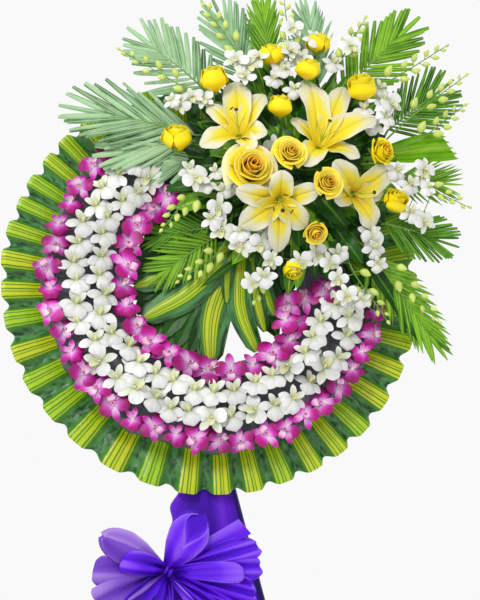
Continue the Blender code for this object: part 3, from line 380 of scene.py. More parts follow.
def lily_finish(name, heart, middle, shade):
    """A lily petal: yellow at its heart and cream towards its end and its edges."""
    made = Finish(name, 0.4, 0.35)
    off = made.off_rib()
    veins = made.veins(14.0, 2.2, 3.0)
    reach = made.times(made.times(off, off), 1.7, made.times(made.along, 0.88))
    body = made.ramp(made.times(veins, 0.10, reach), ((0.0, heart), (0.14, middle), *LILY_EDGES))
    body = made.mix(made.times(made.fade(off, 0.05, 0.0), 0.30), body, "beba32")
    body = made.mix(made.times(veins, 0.16), body, "d6c878")
    return made.done(made.shaded(body, *shade), veins, 0.0005, 0.6)


def leaf_finish(name, dark, light, rib, rough):
    """A leaf: a light midrib, fine lines along it and a patchy green."""
    made = Finish(name, rough, 0.2)
    off = made.off_rib()
    veins = made.veins(14.0, 2.5, 2.0)
    patches = made.times(made.noise(made.object_place, 22.0, 3.0), 0.6, made.times(made.tone, 0.5))
    body = made.mix(made.fade(patches, 0.25, 0.75), dark, light)
    body = made.mix(made.fade(off, 0.09, 0.02), body, rib)
    body = made.mix(made.times(veins, 0.5), body, dark)
    return made.done(body, made.maths("ADD", veins, made.fade(off, 0.0, 0.12)), 0.0008, 0.7)


# The lime band of a collar leaf, and the lines in it: places across the leaf and their share of lime
BAND = ((0.20, 0.0), (0.28, 1.0), (0.74, 1.0), (0.82, 0.0))
BAND_LINES = (
    (0.300, 0.0), (0.315, 1.0), (0.345, 1.0), (0.355, 0.1), (0.375, 0.1), (0.385, 1.0), (0.450, 1.0),
    (0.460, 0.0), (0.480, 0.0), (0.488, 0.9), (0.520, 0.9), (0.530, 0.2), (0.548, 0.2), (0.558, 1.0),
    (0.640, 1.0), (0.650, 0.0), (0.668, 0.0), (0.680, 0.8), (0.700, 0.8), (0.715, 0.0),
)


def striped_finish():
    """A leaf of the collar: lime lines down its middle and glossy dark green at its sides."""
    made = Finish("striped_leaf", 0.30, 0.38)
    across, along, tone = made.across, made.along, made.tone
    wobble = made.noise(made.combine(made.times(along, 2.0), tone), 3.0)
    shift = made.times(tone, 0.10, made.times(wobble, 0.03))
    spot = made.maths("ADD", made.maths("SUBTRACT", across, 0.065), shift)
    # The sides: dark green with pale mint streaks, partly the leaf's own patchy green and partly painted
    # highlight of its gloss
    green_and_sheen_streaks = made.combine(made.times(across, 3.0), made.times(along, 1.6), made.times(tone, 40.0))
    patches = made.fade(made.noise(green_and_sheen_streaks, 2.6, 3.0), 0.34, 0.62)
    sides = made.mix(patches, "082c0a", "528e4e")
    green = made.mix(made.ramp(spot, BAND), sides, "42800e")
    lime = made.mix(tone, "d6d418", "98c81e")
    body = made.mix(made.ramp(spot, BAND_LINES), green, lime)
    fine = made.noise(made.combine(made.times(across, 40.0), along), 3.0, 2.0)
    body = made.mix(made.times(fine, 0.25), body, "185008")
    bends = made.combine(made.times(across, 2.0), made.times(along, 4.0), made.times(tone, 9.0))
    return made.done(body, made.times(fine, 0.15, made.noise(bends, 1.6, 2.0)), 0.003, 0.5)


def cloth_finish(name, tones, rough, ribs, alpha=1.0):
    """Ribbon or drape: cloth with fine ribs across it, in four tones from deep to pale, which are painted
    shade and painted light of the cloth's violet.
    """
    made = Finish(name, rough, 0.16)
    weave = made.noise(made.combine(made.times(made.across, ribs), made.times(made.along, 3.0)), 3.0, 2.0)
    # The piece's tone, which is painted light and shade, picks among the four tones, with a little
    # patchiness of the cloth's own
    factor = made.times(made.tone, 0.84, made.times(made.noise(made.object_place, 9.0, 2.0), 0.16))
    body = made.ramp(factor, tuple(zip((0.04, 0.34, 0.62, 0.95), tones)))
    body = made.mix(made.times(weave, 0.22), body, tones[0])
    made.shader.inputs["Alpha"].default_value = alpha
    made.shader.inputs["Sheen Weight"].default_value = 0.04
    made.shader.inputs["Sheen Roughness"].default_value = 0.4
    made.shader.inputs["Sheen Tint"].default_value = light_of(tones[2])
    return made.done(body, weave, 0.0006, 0.5)


def stem_finish(name, dark, light):
    """A stem, bud or anther: patchy between two colours."""
    made = Finish(name, 0.45, 0.4)
    patches = made.noise(made.object_place, 60.0, 2.0)
    return made.done(made.shaded(made.mix(patches, dark, light), 0.74, 1.0), patches, 0.0004, 0.5)


def foam_finish():
    """Charcoal foam with an open grain."""
    made = Finish("dark_foam", 0.9, 0.2)
    grain = made.noise(made.object_place, 260.0, 4.0)
    patches = made.noise(made.object_place, 25.0, 3.0)
    body = made.mix(made.times(patches, grain), "4a4a50", "9e9ea4")
    return made.done(body, grain, 0.002, 0.8)


def bamboo_finish():
    """Split bamboo: pale stripes along and faint darker bands."""
    made = Finish("bamboo", 0.5, 0.4)
    x, y, z = made.split(made.object_place)
    grain = made.noise(made.combine(made.times(x, 30.0), made.times(y, 30.0), z), 4.0, 4.0)
    bands = made.fade(made.noise(made.combine(0.0, 0.0, z), 7.0, 0.0), 0.62, 0.66)
    body = made.mix(grain, "96703e", "d6b67a")
    body = made.mix(made.times(bands, 0.4), body, "604222")
    return made.done(body, made.maths("ADD", grain, bands), 0.001, 0.5)


def floor_finish():
    """A pale studio floor."""
    made = Finish("studio_floor", 0.8, 0.2)
    cloud = made.noise(made.object_place, 1.5, 2.0)
    made.feed(made.shader.inputs["Base Color"], made.mix(cloud, 0.80, 0.86))
    return made.material


ROSE_RELIEF = 0.0003
MAGENTA = petal_finish(
    "magenta_petal",
    ((0.0, "fae8f8"), (0.13, "f0aaec"), (0.28, "d83cc2"), (0.46, "b80084"), (1.0, "96005c")),
    "78004c", 0.5, (0.60, 1.0))
MAGENTA_LIP = petal_finish(
    "magenta_lip", ((0.0, "faf2ec"), (0.5, "f4cee6"), (0.82, "d850ba"), (1.0, "aa0078")),
    "ce54aa", 0.4, (0.78, 1.0))
MAGENTA_SEPAL = petal_finish(
    "magenta_sepal",
    ((0.0, "faeef8"), (0.34, "ecaae6"), (0.60, "d02cb2"), (0.90, "ba0a94"), (1.0, "e28cd0")),
    "a00078", 0.5, (0.64, 1.0))
WHITE = petal_finish(
    "white_petal", ((0.0, "c4caa0"), (0.14, "d8dbce"), (0.45, "eaeae8"), (1.0, "f3f3f2")),
    "c0c4c2", 0.5, (0.74, 1.0))
WHITE_SEPAL = petal_finish(
    "white_sepal", ((0.0, "c6ce92"), (0.3, "dcdfc6"), (0.7, "ecede6"), (1.0, "f0f1ea")),
    "bcc4aa", 0.5, (0.74, 1.0))
WHITE_LIP = petal_finish(
    "white_lip", ((0.0, "b4ba4c"), (0.4, "d8d9a0"), (1.0, "e8e8d4")), "bec282", 0.5, (0.8, 1.0))
YELLOW = petal_finish(
    "rose_petal", ((0.0, "f0b800"), (0.35, "f6d600"), (0.90, "fae800"), (1.0, "faee3c")),
    "f0d200", 0.3, (0.80, 1.0), ROSE_RELIEF)
ORANGE = petal_finish(
    "rose_heart", ((0.0, "d66000"), (0.6, "f09406"), (0.86, "fabe14"), (1.0, "fcd83c")),
    "e88200", 0.3, (0.88, 1.0), ROSE_RELIEF)
GOLD = petal_finish(
    "rose_gold", ((0.0, "eeca00"), (0.5, "fada0a"), (0.86, "fce428"), (1.0, "faec78")),
    "f6ce00", 0.3, (0.86, 1.0), ROSE_RELIEF)
BUTTER = petal_finish(
    "rose_outer", ((0.0, "ecd628"), (0.5, "f0e26e"), (1.0, "eeeaba")),
    "ecd85a", 0.3, (0.85, 1.0), ROSE_RELIEF)
LILY = lily_finish("lily_petal", "c4b00a", "f0d400", (0.80, 0.94))
# The golden lilies' petals: a more golden yellow of their own, darkened all over with painted shade, and a
# dark olive throat that is painted shade
LILY_GOLD_SHADED = lily_finish("lily_petal_gold_shaded", "544c0c", "d6ac00", (0.68, 0.86))
STRIPED = striped_finish()
PALM = leaf_finish("palm_leaf", "0e3c02", "60a222", "a0d054", 0.4)
PALM_PALE = leaf_finish("pale_palm_leaf", "2c6428", "b4daa8", "d4ecc4", 0.42)
MINT = leaf_finish("mint_palm_leaf", "34703c", "b0daa8", "d4eec6", 0.42)
DARK_LEAF = leaf_finish("dark_leaf", "062602", "28620e", "588e22", 0.3)
FRESH_LEAF = leaf_finish("fresh_leaf", "2c6804", "86c222", "c4e260", 0.34)
GREEN_STEM = stem_finish("green_stem", "467c28", "8cb84c")
LIME = stem_finish("lime_bud", "b4d046", "e4ee8c")
ANTHER = stem_finish("brown_anther", "341808", "683412")
FILAMENT = stem_finish("lily_filament", "babe14", "e2de50")
DRAPE = cloth_finish("violet_drape", ("160446", "4208a8", "641ad4", "8246dc"), 0.5, 60.0)
RIBBON = cloth_finish("violet_ribbon", ("1a0260", "4806c4", "6c22f0", "aa76f6"), 0.42, 90.0, 0.95)
SHEER = cloth_finish("sheer_ribbon", ("32146e", "602cb8", "8854d6", "caa6f5"), 0.42, 90.0, 0.78)
FOAM = foam_finish()
BAMBOO = bamboo_finish()
WHITE_FINISHES = [WHITE, WHITE_LIP, GREEN_STEM, LIME, WHITE_SEPAL]
MAGENTA_FINISHES = [MAGENTA, MAGENTA_LIP, GREEN_STEM, LIME, MAGENTA_SEPAL]
ROSE_FINISHES = [YELLOW, ORANGE, BUTTER, GREEN_STEM, GOLD]
PALM_FINISHES = [PALM, DARK_LEAF, GREEN_STEM, FRESH_LEAF, MINT]


# Petals and flowers, each laid out round z, the way it faces

# Outlines: places along a petal or leaf, and the share of its half width there
BROAD = ((0.0, 0.12, 0.35, 0.6, 0.8, 0.93, 1.0), (0.18, 0.42, 0.88, 1.0, 0.88, 0.55, 0.14))
NARROW = ((0.0, 0.2, 0.45, 0.6, 0.8, 0.93, 1.0), (0.32, 0.66, 0.97, 1.0, 0.76, 0.42, 0.08))
# The finishes of an orchid: petals, lip, stem, buds and sepals, in the order of its list of finishes
PETAL, LIP, STEM, BUDS, SEPAL = range(5)
PETAL_THICK = 0.028
LIP_THICK = 0.03


def arc(length, start, end, rows):
    """A spine in the x-z plane that leaves at one slope and ends at another, in degrees."""
    t = 1.0 - (1.0 - np.linspace(0.0, 1.0, rows)) ** 1.4
    slope = np.radians(lerp(start, end, (t[1:] + t[:-1]) / 2))
    step = np.diff(t) * length
    x = np.concatenate(([0.0], np.cumsum(np.cos(slope) * step)))
    z = np.concatenate(([0.0], np.cumsum(np.sin(slope) * step)))
    return np.stack((x, np.zeros(rows), z), -1), t


def petal(direction, length, half, outline, slopes, cup, ruffle, rng, rows=8, columns=5, start=0.0, foot=0.0,
          thick=PETAL_THICK, finish=PETAL):
    """One petal of a flower."""
    spine, t = arc(length, *slopes, rows)
    s = np.linspace(-1.0, 1.0, columns)[None]
    ripple = ruffle * np.sin(9.0 * t[:, None] + rng.uniform(0.0, 6.0) + 1.4 * np.sign(s)) * s ** 2
    halves = half * np.interp(t, *outline)
    grid = blade(spine + (start, 0.0, foot), FACE_OUT, halves, columns, cup=cup, ripple=ripple)
    return slab(grid, thick, finish=finish).moved(spun(direction))


def flower_stem():
    return tube([(0, 0, -0.45), (0, 0, -0.2), (0, 0, -0.02)], (0.04, 0.05, 0.07), 5, 0.5, STEM)


# An open orchid's petals and sepals: direction, length, half width, outline and slope
OPEN_PETALS = ((90, 1.0, 0.25, NARROW, 12), (14, 0.96, 0.47, BROAD, 26), (166, 0.96, 0.47, BROAD, 26),
               (228, 0.98, 0.26, NARROW, 8), (312, 0.98, 0.26, NARROW, 8))


def open_orchid(rng, nod):
    """An open dendrobium of radius 1: two broad petals, three narrow sepals, a lip and a column."""
    parts = []
    for direction, length, half, outline, slope in OPEN_PETALS:
        start = slope + rng.uniform(-10, 12)
        broad = outline is BROAD
        end = start - (rng.uniform(34, 62) if broad else rng.uniform(14, 50))
        direction += rng.uniform(-8, 8)
        length *= rng.uniform(0.92, 1.04)
        half *= rng.uniform(0.94, 1.08)
        cup = rng.uniform(-0.30, 0.05) if broad else rng.uniform(0.05, 0.35)
        foot, finish = (0.03, PETAL) if broad else (-0.03, SEPAL)
        parts.append(petal(direction, length, half, outline, (start, end), cup, 0.10, rng,
                           start=0.05, foot=foot, finish=finish))
    slope = 50 + nod + rng.uniform(-8, 8)
    parts.append(petal(270, 0.70, 0.23, BROAD, (slope, slope - 75), 0.55, 0.22, rng, 7, 5, 0.03, 0.02,
                       LIP_THICK, LIP))
    for direction in (226, 314):
        parts.append(petal(direction, 0.34, 0.14, BROAD, (66, 50), 0.4, 0.0, rng, 4, 3, 0.06, 0.0,
                           LIP_THICK, LIP))
    parts.append(tube([(0, 0, -0.05), (0, 0.01, 0.12), (0, -0.02, 0.24), (0, -0.05, 0.30)],
                      (0.075, 0.085, 0.08, 0.04), 6, 0.8, LIP))
    parts.append(flower_stem())
    return join(parts)


def hanging_orchid(rng, pair):
    """A dendrobium of radius 1 that hangs: one or two round petals below and narrow ones round them."""
    parts = []
    for direction, half in (((241, 0.40), (299, 0.40)) if pair else ((270, 0.50),)):
        parts.append(petal(direction + rng.uniform(-12, 12), rng.uniform(0.96, 1.08), half, BROAD,
                           (rng.uniform(36, 50), -rng.uniform(54, 70)), -0.42, 0.05, rng, 9, 7, 0.02, 0.03))
    for direction in (192, 348):
        parts.append(petal(direction + rng.uniform(-12, 12), rng.uniform(0.80, 0.98), 0.27, NARROW,
                           (rng.uniform(6, 24), -rng.uniform(10, 34)), -0.15, 0.10, rng,
                           start=0.05, foot=-0.03))
    for direction in (124, 56):
        parts.append(petal(direction + rng.uniform(-9, 9), rng.uniform(0.66, 0.82), 0.20, NARROW,
                           (rng.uniform(24, 40), rng.uniform(-12, 6)), 0.30, 0.06, rng,
                           start=0.04, foot=-0.02, finish=SEPAL))
    parts.append(petal(90, 0.46, 0.15, BROAD, (64, 30), 0.6, 0.1, rng, 6, 5, 0.02, 0.04, LIP_THICK, LIP))
    parts.append(tube([(0, -0.02, 0.0), (0, 0.05, 0.14), (0, 0.14, 0.24), (0, 0.20, 0.24)],
                      (0.10, 0.10, 0.08, 0.04), 6, 0.6, LIP))
    parts.append(flower_stem())
    return join(parts)


def plump_bud():
    """A bud of length 1 along z."""
    z = np.array([0.0, 0.06, 0.2, 0.4, 0.62, 0.82, 0.95, 1.0])
    radii = (0.05, 0.14, 0.27, 0.33, 0.29, 0.18, 0.07, 0.02)
    return tube(np.stack((0.0 * z, 0.05 * np.sin(3.0 * z), z), -1), radii, 7, 0.5, BUDS)


orchid_rng = random.Random(SEED)
OPEN_ORCHIDS = [open_orchid(orchid_rng, 8.0 * k - 20.0) for k in range(6)]
HANGING_ORCHIDS = [hanging_orchid(orchid_rng, k % 3 == 1) for k in range(7)]
BUD = plump_bud()


# The pleated collar

# The directions of the ridges that the photo shows. The rest lie behind the spray, evenly spaced.
RIDGES_SEEN = (135.5, 141.9, 150.3, 156.9, 164.8, 172.9, 182.0, 190.7, 200.0, 209.0, 218.9, 229.0,
               240.5, 251.8, 262.0, 271.2, 280.2, 289.1, 297.9, 306.5, 315.2, 324.7, 334.6)
LEAVES_HIDDEN = 17
COLLAR_ROOT = 0.3500
COLLAR_INNER = 0.3614
COLLAR_OUTER = 0.4435
COLLAR_BACK = -0.0221
VALLEY_CUT = 0.014
# How high a ridge rises, and how far out it goes on rising
RIDGE_RISE = 0.0205
RIDGE_REACH = 0.0876
# How much of the way to its neighbours' ridges a leaf covers
LEAF_SHARE = 0.64
COLLAR_THICK = 0.0011


def collar():
    """Folded striped leaves, each over its neighbour, with lime ridges and glossy dark valleys."""
    rng = random.Random(SEED + 1)
    gap = (RIDGES_SEEN[0] + 360.0 - RIDGES_SEEN[-1]) / (LEAVES_HIDDEN + 1)
    ridges = list(RIDGES_SEEN) + [RIDGES_SEEN[-1] + gap * (k + 1) for k in range(LEAVES_HIDDEN)]
    s, t = grid_lines(21, 15)
    off = np.abs(s)
    plateau = 1.0 - smooth(0.22, 0.84, off)
    overlap = np.where(s > 0.0, 0.0014, 0.0) * smooth(0.5, 1.0, off)
    groove = 0.0012 * hump(off, 0.16, 0.05)
    leaves = []
    for before, ridge, after in zip([ridges[-1] - 360.0] + ridges, ridges, ridges[1:] + [ridges[0] + 360.0]):
        direction = ridge + s * np.where(s > 0.0, after - ridge, ridge - before) * LEAF_SHARE
        reach = COLLAR_OUTER - VALLEY_CUT * smooth(0.30, 0.76, off) + rng.uniform(-0.002, 0.002)
        radius = lerp(COLLAR_ROOT, reach, t)
        share = np.clip((radius - COLLAR_INNER) / RIDGE_REACH, 0.0, 1.0)
        phase = rng.uniform(0, 1)
        ripple = 0.0012 * np.sin(2 * math.pi * (2.1 * t + phase) + 2.0 * s) * smooth(0.3, 0.6, off)
        w = COLLAR_BACK + 0.0012 + lerp(0.003, RIDGE_RISE, share ** 0.8) * plateau + overlap
        w = w - groove * t + ripple * t * (1.0 - t) * 3.0 - 0.0035 * smooth(0.93, 1.0, t)
        grid = on_ring(radius, np.broadcast_to(direction, radius.shape), np.maximum(w, COLLAR_BACK + 0.0006))
        leaves.append(slab(grid, COLLAR_THICK, rng.uniform(0.15, 0.9)))
    build("collar_leaves", leaves, [STRIPED], "leaf_collar")


# The orchid garland

OUTER_START = 127.0
WHITE_START = 119.0
# The runs of the inner row start and end here, and the garland ends with the last
INNER_RUNS = (113.0, 205.0, 284.5, 353.0)
GARLAND_END = INNER_RUNS[-1]
STRIP_ROOT = 0.0312
ORCHID_RADIUS = 0.0295
ORCHID_HEIGHT = 0.019
# The lines of flowers in each row: radius, pitch, phase, lean outwards, lift and size
OUTER_LINES = ((0.341, 0.0470, 0.3, 0.08, -0.004, 1.10),)
WHITE_LINES = ((0.2925, 0.0420, 0.9, 0.10, 0.008, 1.26), (0.2475, 0.0420, 0.2, -0.10, 0.010, 1.28))
INNER_LINES = ((0.1975, 0.0460, 0.5, -0.2, -0.004, 1.26),)
# More at the inner row's end: some lean over the opening, and some stand further out
INNER_END = (((0.1800, 0.0460, 0.5, -0.60, 0.006, 1.20), 321.0, 347.0),
             ((0.2260, 0.0460, 0.5, 0.00, 0.004, 1.15), 346.0, 359.0))


def row_of_flowers(lines, start, end, hanging, rng):
    """Flowers at an even pitch, each turned and tilted a little, with a share of hanging ones."""
    flowers = []
    for radius, pitch, phase, lean_out, lift, size in lines:
        count = round(math.radians(end - start) * radius / pitch)
        for k in range(count):
            direction = start + (end - start) * (k + 0.2 + 0.6 * phase) / count
            root = on_ring(radius + rng.uniform(-0.004, 0.004), direction, STRIP_ROOT)
            axis = unit(FACE_OUT + on_ring(lean_out, direction, 0.0)
                        + (rng.uniform(-0.28, 0.28), rng.uniform(-0.12, 0.42), 0.0))
            hangs = rng.random() < hanging
            turn = rng.uniform(-38, 38) if hangs else rng.uniform(-180, 180)
            matrix = spun(turn) @ facing(axis) * (ORCHID_RADIUS * size * rng.uniform(0.93, 1.06))
            heart = root + axis * (ORCHID_HEIGHT + lift + rng.uniform(-0.002, 0.002))
            orchid = rng.choice(HANGING_ORCHIDS if hangs else OPEN_ORCHIDS)
            flowers.append(orchid.moved(matrix, heart, rng.uniform(0.05, 0.95)))
    return flowers


def garland():
    """Magenta, white and magenta rows round the ring."""
    rng = random.Random(SEED)
    outer = row_of_flowers(OUTER_LINES, OUTER_START, GARLAND_END, 0.35, rng)
    build("garland_magenta_outer", outer, MAGENTA_FINISHES, "orchids_magenta_outer")
    white = row_of_flowers(WHITE_LINES, WHITE_START, GARLAND_END, 0.85, rng)
    build("garland_white", white, WHITE_FINISHES, "orchids_white")
    for number, (start, end) in enumerate(zip(INNER_RUNS, INNER_RUNS[1:]), 1):
        inner = row_of_flowers(INNER_LINES, start, end, 0.3, rng)
        if end == GARLAND_END:
            for line, low, high in INNER_END:
                inner += row_of_flowers([line], low, high, 0.3, rng)
        build(f"garland_magenta_inner_{number}", inner, MAGENTA_FINISHES,
              f"orchids_magenta_inner_{number}")


# The dome and the roses

# The foam dome's middle, its back, radius and height, and how far from it a bloom leans out fully
DOME_U = 0.165
DOME_V = 0.215
DOME_BACK = 0.0304
DOME_RADIUS = 0.19
DOME_HEIGHT = 0.072
LEAN_REACH = 0.25


def dome_height(u, v):
    share = math.hypot(u - DOME_U, v - DOME_V) / DOME_RADIUS
    return DOME_BACK + DOME_HEIGHT * math.sqrt(max(0.0, 1.0 - share ** 2))


# The finishes of a rose's heart, petals and outside, in the order of ROSE_FINISHES
BUD_LOOK = (0, 0, 0)
HALF_OPEN_LOOK = (1, 0, 0)
OPEN_LOOK = (1, 4, 4)
FULL_LOOK = (1, 4, 2)
CALYX = 3
# Each rose: u, v, w, radius, how far it has opened, the way it faces and its look
ROSES = {
    "rose_1": (-0.009, 0.408, 0.130, 0.0310, 0.0, (-0.25, 1.0, 0.60), BUD_LOOK),
    "rose_2": (-0.087, 0.275, 0.140, 0.0310, 0.1, (-0.10, 1.0, 0.65), BUD_LOOK),
    "rose_3": (0.116, 0.469, 0.120, 0.0265, 0.0, (-0.10, 1.0, 0.50), BUD_LOOK),
    "rose_4": (0.129, 0.346, 0.150, 0.0265, 0.0, (0.0, 1.0, 0.60), BUD_LOOK),
    "rose_5": (0.220, 0.499, 0.120, 0.0265, 0.2, (0.10, 1.0, 0.50), BUD_LOOK),
    "rose_6": (0.193, 0.432, 0.140, 0.0260, 0.1, (0.10, 1.0, 0.55), BUD_LOOK),
    "rose_7": (0.305, 0.396, 0.140, 0.0320, 0.2, (-0.25, 1.0, 0.65), BUD_LOOK),
    "rose_8": (0.341, 0.249, 0.150, 0.0305, 0.6, (0.60, 0.05, 0.95), HALF_OPEN_LOOK),
    "rose_9": (0.138, 0.228, 0.200, 0.0295, 0.9, (0.05, 0.15, 1.0), OPEN_LOOK),
    "rose_10": (0.061, 0.201, 0.180, 0.0450, 1.0, (0.10, 0.10, 1.0), FULL_LOOK),
    "rose_11": (0.212, 0.167, 0.200, 0.0275, 0.8, (0.20, -0.05, 1.0), OPEN_LOOK),
    "rose_12": (0.190, 0.068, 0.170, 0.0265, 0.6, (0.10, -0.75, 0.85), OPEN_LOOK),
    "rose_13": (0.370, 0.151, 0.130, 0.0270, 0.2, (0.35, 0.60, 0.80), BUD_LOOK),
    "rose_14": (0.151, 0.004, 0.110, 0.0215, 0.2, (0.05, -1.0, 0.40), BUD_LOOK),
}
# How much the roses' feet lean out from the dome: the lowest lean more
FOOT_LEAN = 0.55
LOW_FOOT_LEAN = 0.9
LOW_ROSE_V = 0.05
ROSE_STEM_RADIUS = 0.0028
# The shape of a rose of radius 1
ROSE_BOTTOM = -0.88
ROSE_THICK = 0.022
ROSE_OUTLINE = ((0.0, 0.35, 0.7, 1.0), (0.30, 0.85, 1.0, 0.86))


def rose_petal(number, share, opened, rng):
    """One petal of a rose of radius 1, from the heart at share 0 to the outside at 1."""
    s, t = grid_lines(11, 10)
    belly = lerp(0.10, lerp(1.00, 0.74, smooth(0.1, 0.6, opened)), share ** 0.8) * rng.uniform(0.94, 1.06)
    top = lerp(0.72, lerp(0.60, -0.02, opened), share ** 1.4) + rng.uniform(-0.05, 0.05)
    flare = lerp(-0.30, lerp(-0.24, 0.62, opened), share)
    curl = smooth(0.76, 1.0, t) * share
    reach = 0.10 + (belly - 0.10) * wave(np.minimum(t / 0.55, 1.0) / 2)
    reach = reach + belly * flare * smooth(0.40, 1.0, t) + curl * (0.02 + 0.22 * opened)
    reach = reach + 0.03 * np.abs(s) ** 3 * t + 0.02 * s
    height = lerp(ROSE_BOTTOM, top, t ** 0.95) - curl * (0.10 + 0.10 * opened)
    height = height - (0.10 + 0.16 * share) * s ** 2 * t + 0.02 * np.sin(5.0 * s + number) * t ** 2
    spread = math.radians(lerp(95.0, 62.0, share)) * np.interp(t, *ROSE_OUTLINE)
    angle = math.radians(GOLDEN_TURN * number) + s * spread
    grid = np.stack((reach * np.cos(angle), reach * np.sin(angle), height), -1)
    # Petals nearer the heart get a lower tone and are dimmed: painted shade in the rose's hollow, with a
    # little that differs at random
    return slab(grid, ROSE_THICK, lerp(0.35, 0.9, share) * rng.uniform(0.85, 1.1))


def rose_head(opened, rng, heart, petals, outside):
    """A rose of radius 1 with its calyx."""
    count = round(lerp(8, 19, opened))
    parts = []
    for number in range(count):
        share = (number + 0.5) / count
        made = rose_petal(number, share, opened, rng)
        made.finishes[:] = heart if share < 0.24 else outside if share > 0.86 else petals
        parts.append(made)
    slopes = (lerp(35, -10, opened), lerp(80, -40, opened))
    for k in range(5):
        parts.append(petal(72 * k + 20, 0.62, 0.15, NARROW, slopes, 0.2, 0.0, rng, 6, 3, 0.10, ROSE_BOTTOM,
                           0.02, CALYX))
    parts.append(tube([(0, 0, -1.02), (0, 0, -0.96), (0, 0, -0.86), (0, 0, -0.78)], (0.08, 0.20, 0.22, 0.1),
                      8, 0.5, CALYX))
    return join(parts)


def roses():
    """The roses, each on a stem from the dome."""
    rng = random.Random(SEED + 3)
    for name, (u, v, w, radius, opened, way, look) in ROSES.items():
        centre = np.array([u, v, w])
        lean = (LOW_FOOT_LEAN if v < LOW_ROSE_V else FOOT_LEAN) / LEAN_REACH
        straight = unit(((u - DOME_U) * lean, (v - DOME_V) * lean, 1.0))
        foot = centre - straight * (radius * 0.97)
        axis = unit(way)
        head = rose_head(opened, rng, *look)
        size = radius * lerp(1.16, 1.02, smooth(0.1, 0.6, opened))
        matrix = spun(rng.uniform(0, 360)) @ facing(axis) * size
        under = centre - axis * radius * 0.98
        path = bezier(foot - straight * 0.004, foot + straight * 0.002, under - axis * 0.004, under, 6)
        stem = tube(path, ROSE_STEM_RADIUS, 6, 0.5, CALYX)
        build(f"{name}_bloom", [head.moved(matrix, centre), stem], ROSE_FINISHES, name)


# The lilies

# Each lily: its throat, the way it faces, and the tips of its petals, in turn round it
LILIES = {
    "lily_1": ((0.0404, 0.2868, 0.1462), (-0.1619, 0.4250, 0.8906),
               ((0.045, 0.415, 0.092), (-0.018, 0.354, 0.110), (-0.041, 0.252, 0.154), (0.064, 0.237, 0.180),
                (0.096, 0.279, 0.166), (0.099, 0.378, 0.120))),
    "lily_2": ((0.2101, 0.2657, 0.1450), (0.1428, 0.4589, 0.8770),
               ((0.193, 0.420, 0.100), (0.155, 0.323, 0.130), (0.164, 0.204, 0.191), (0.291, 0.236, 0.153),
                (0.334, 0.332, 0.126), (0.277, 0.410, 0.090))),
    "lily_3": ((0.1178, 0.1341, 0.1713), (-0.0505, -0.4547, 0.8892),
               ((0.117, 0.186, 0.212), (0.027, 0.152, 0.181), (0.038, 0.086, 0.148), (0.118, 0.038, 0.128),
                (0.173, 0.084, 0.155), (0.197, 0.156, 0.193))),
    "lily_4": ((0.2838, 0.1618, 0.1374), (0.3515, -0.1506, 0.9240),
               ((0.232, 0.220, 0.173), (0.232, 0.141, 0.160), (0.323, 0.094, 0.117), (0.345, 0.171, 0.122),
                (0.357, 0.220, 0.125))),
}
# The lilies whose petals are golden and darkened with painted shade
SHADED_GOLD_LILIES = ("lily_3", "lily_4")
# The stamens that still hold their brown anther
ANTHERS = {"lily_1": (2,), "lily_3": (1, 3, 5)}
LILY_NECK = 0.045
LILY_OUTLINE = ((0.0, 0.15, 0.35, 0.6, 0.8, 0.92, 1.0), (0.34, 0.64, 0.94, 1.0, 0.88, 0.60, 0.18))
LILY_HALVES = (0.0290, 0.0235)
LILY_THICK = 0.0012
PISTIL_RADII = (0.0016, 0.0014, 0.0013, 0.0013, 0.0013, 0.0014, 0.0020, 0.0034)
# The finishes of a lily after its petals: neck, anthers and filaments
NECK, POLLEN, THREAD = 1, 2, 3


def lily_petal(throat, axis, tip, widest, rng):
    """One lily petal, arched from the throat out to its tip."""
    out = tip - throat
    out = unit(out - axis * (out @ axis))
    start = throat - axis * 0.014 + out * 0.006
    reach = np.linalg.norm(tip - start)
    spine = bezier(start, start + (axis * 0.62 + out * 0.42) * reach * 0.42,
                   tip - (out * 0.92 - axis * 0.42) * reach * 0.36, tip, 16)
    s, t = grid_lines(11, 16)
    edge = np.sin(13.0 * t + rng.uniform(0, 6) + 1.7 * np.sign(s)) * s ** 4 * smooth(0.1, 0.4, t)
    ribs = -0.10 * hump(s, 0.0, 0.10) + 0.05 * hump(np.abs(s), 0.22, 0.10)
    cup = lerp(0.55, -0.12, smooth(0.1, 0.95, t)) * s ** 2
    halves = widest * np.interp(t[:, 0], *LILY_OUTLINE) * np.interp(reach, (0.06, 0.12), (0.85, 1.05))
    grid = blade(spine, axis, halves, 11, ripple=0.17 * edge + ribs + cup)
    return slab(grid, LILY_THICK, rng.uniform(0.4, 0.9))


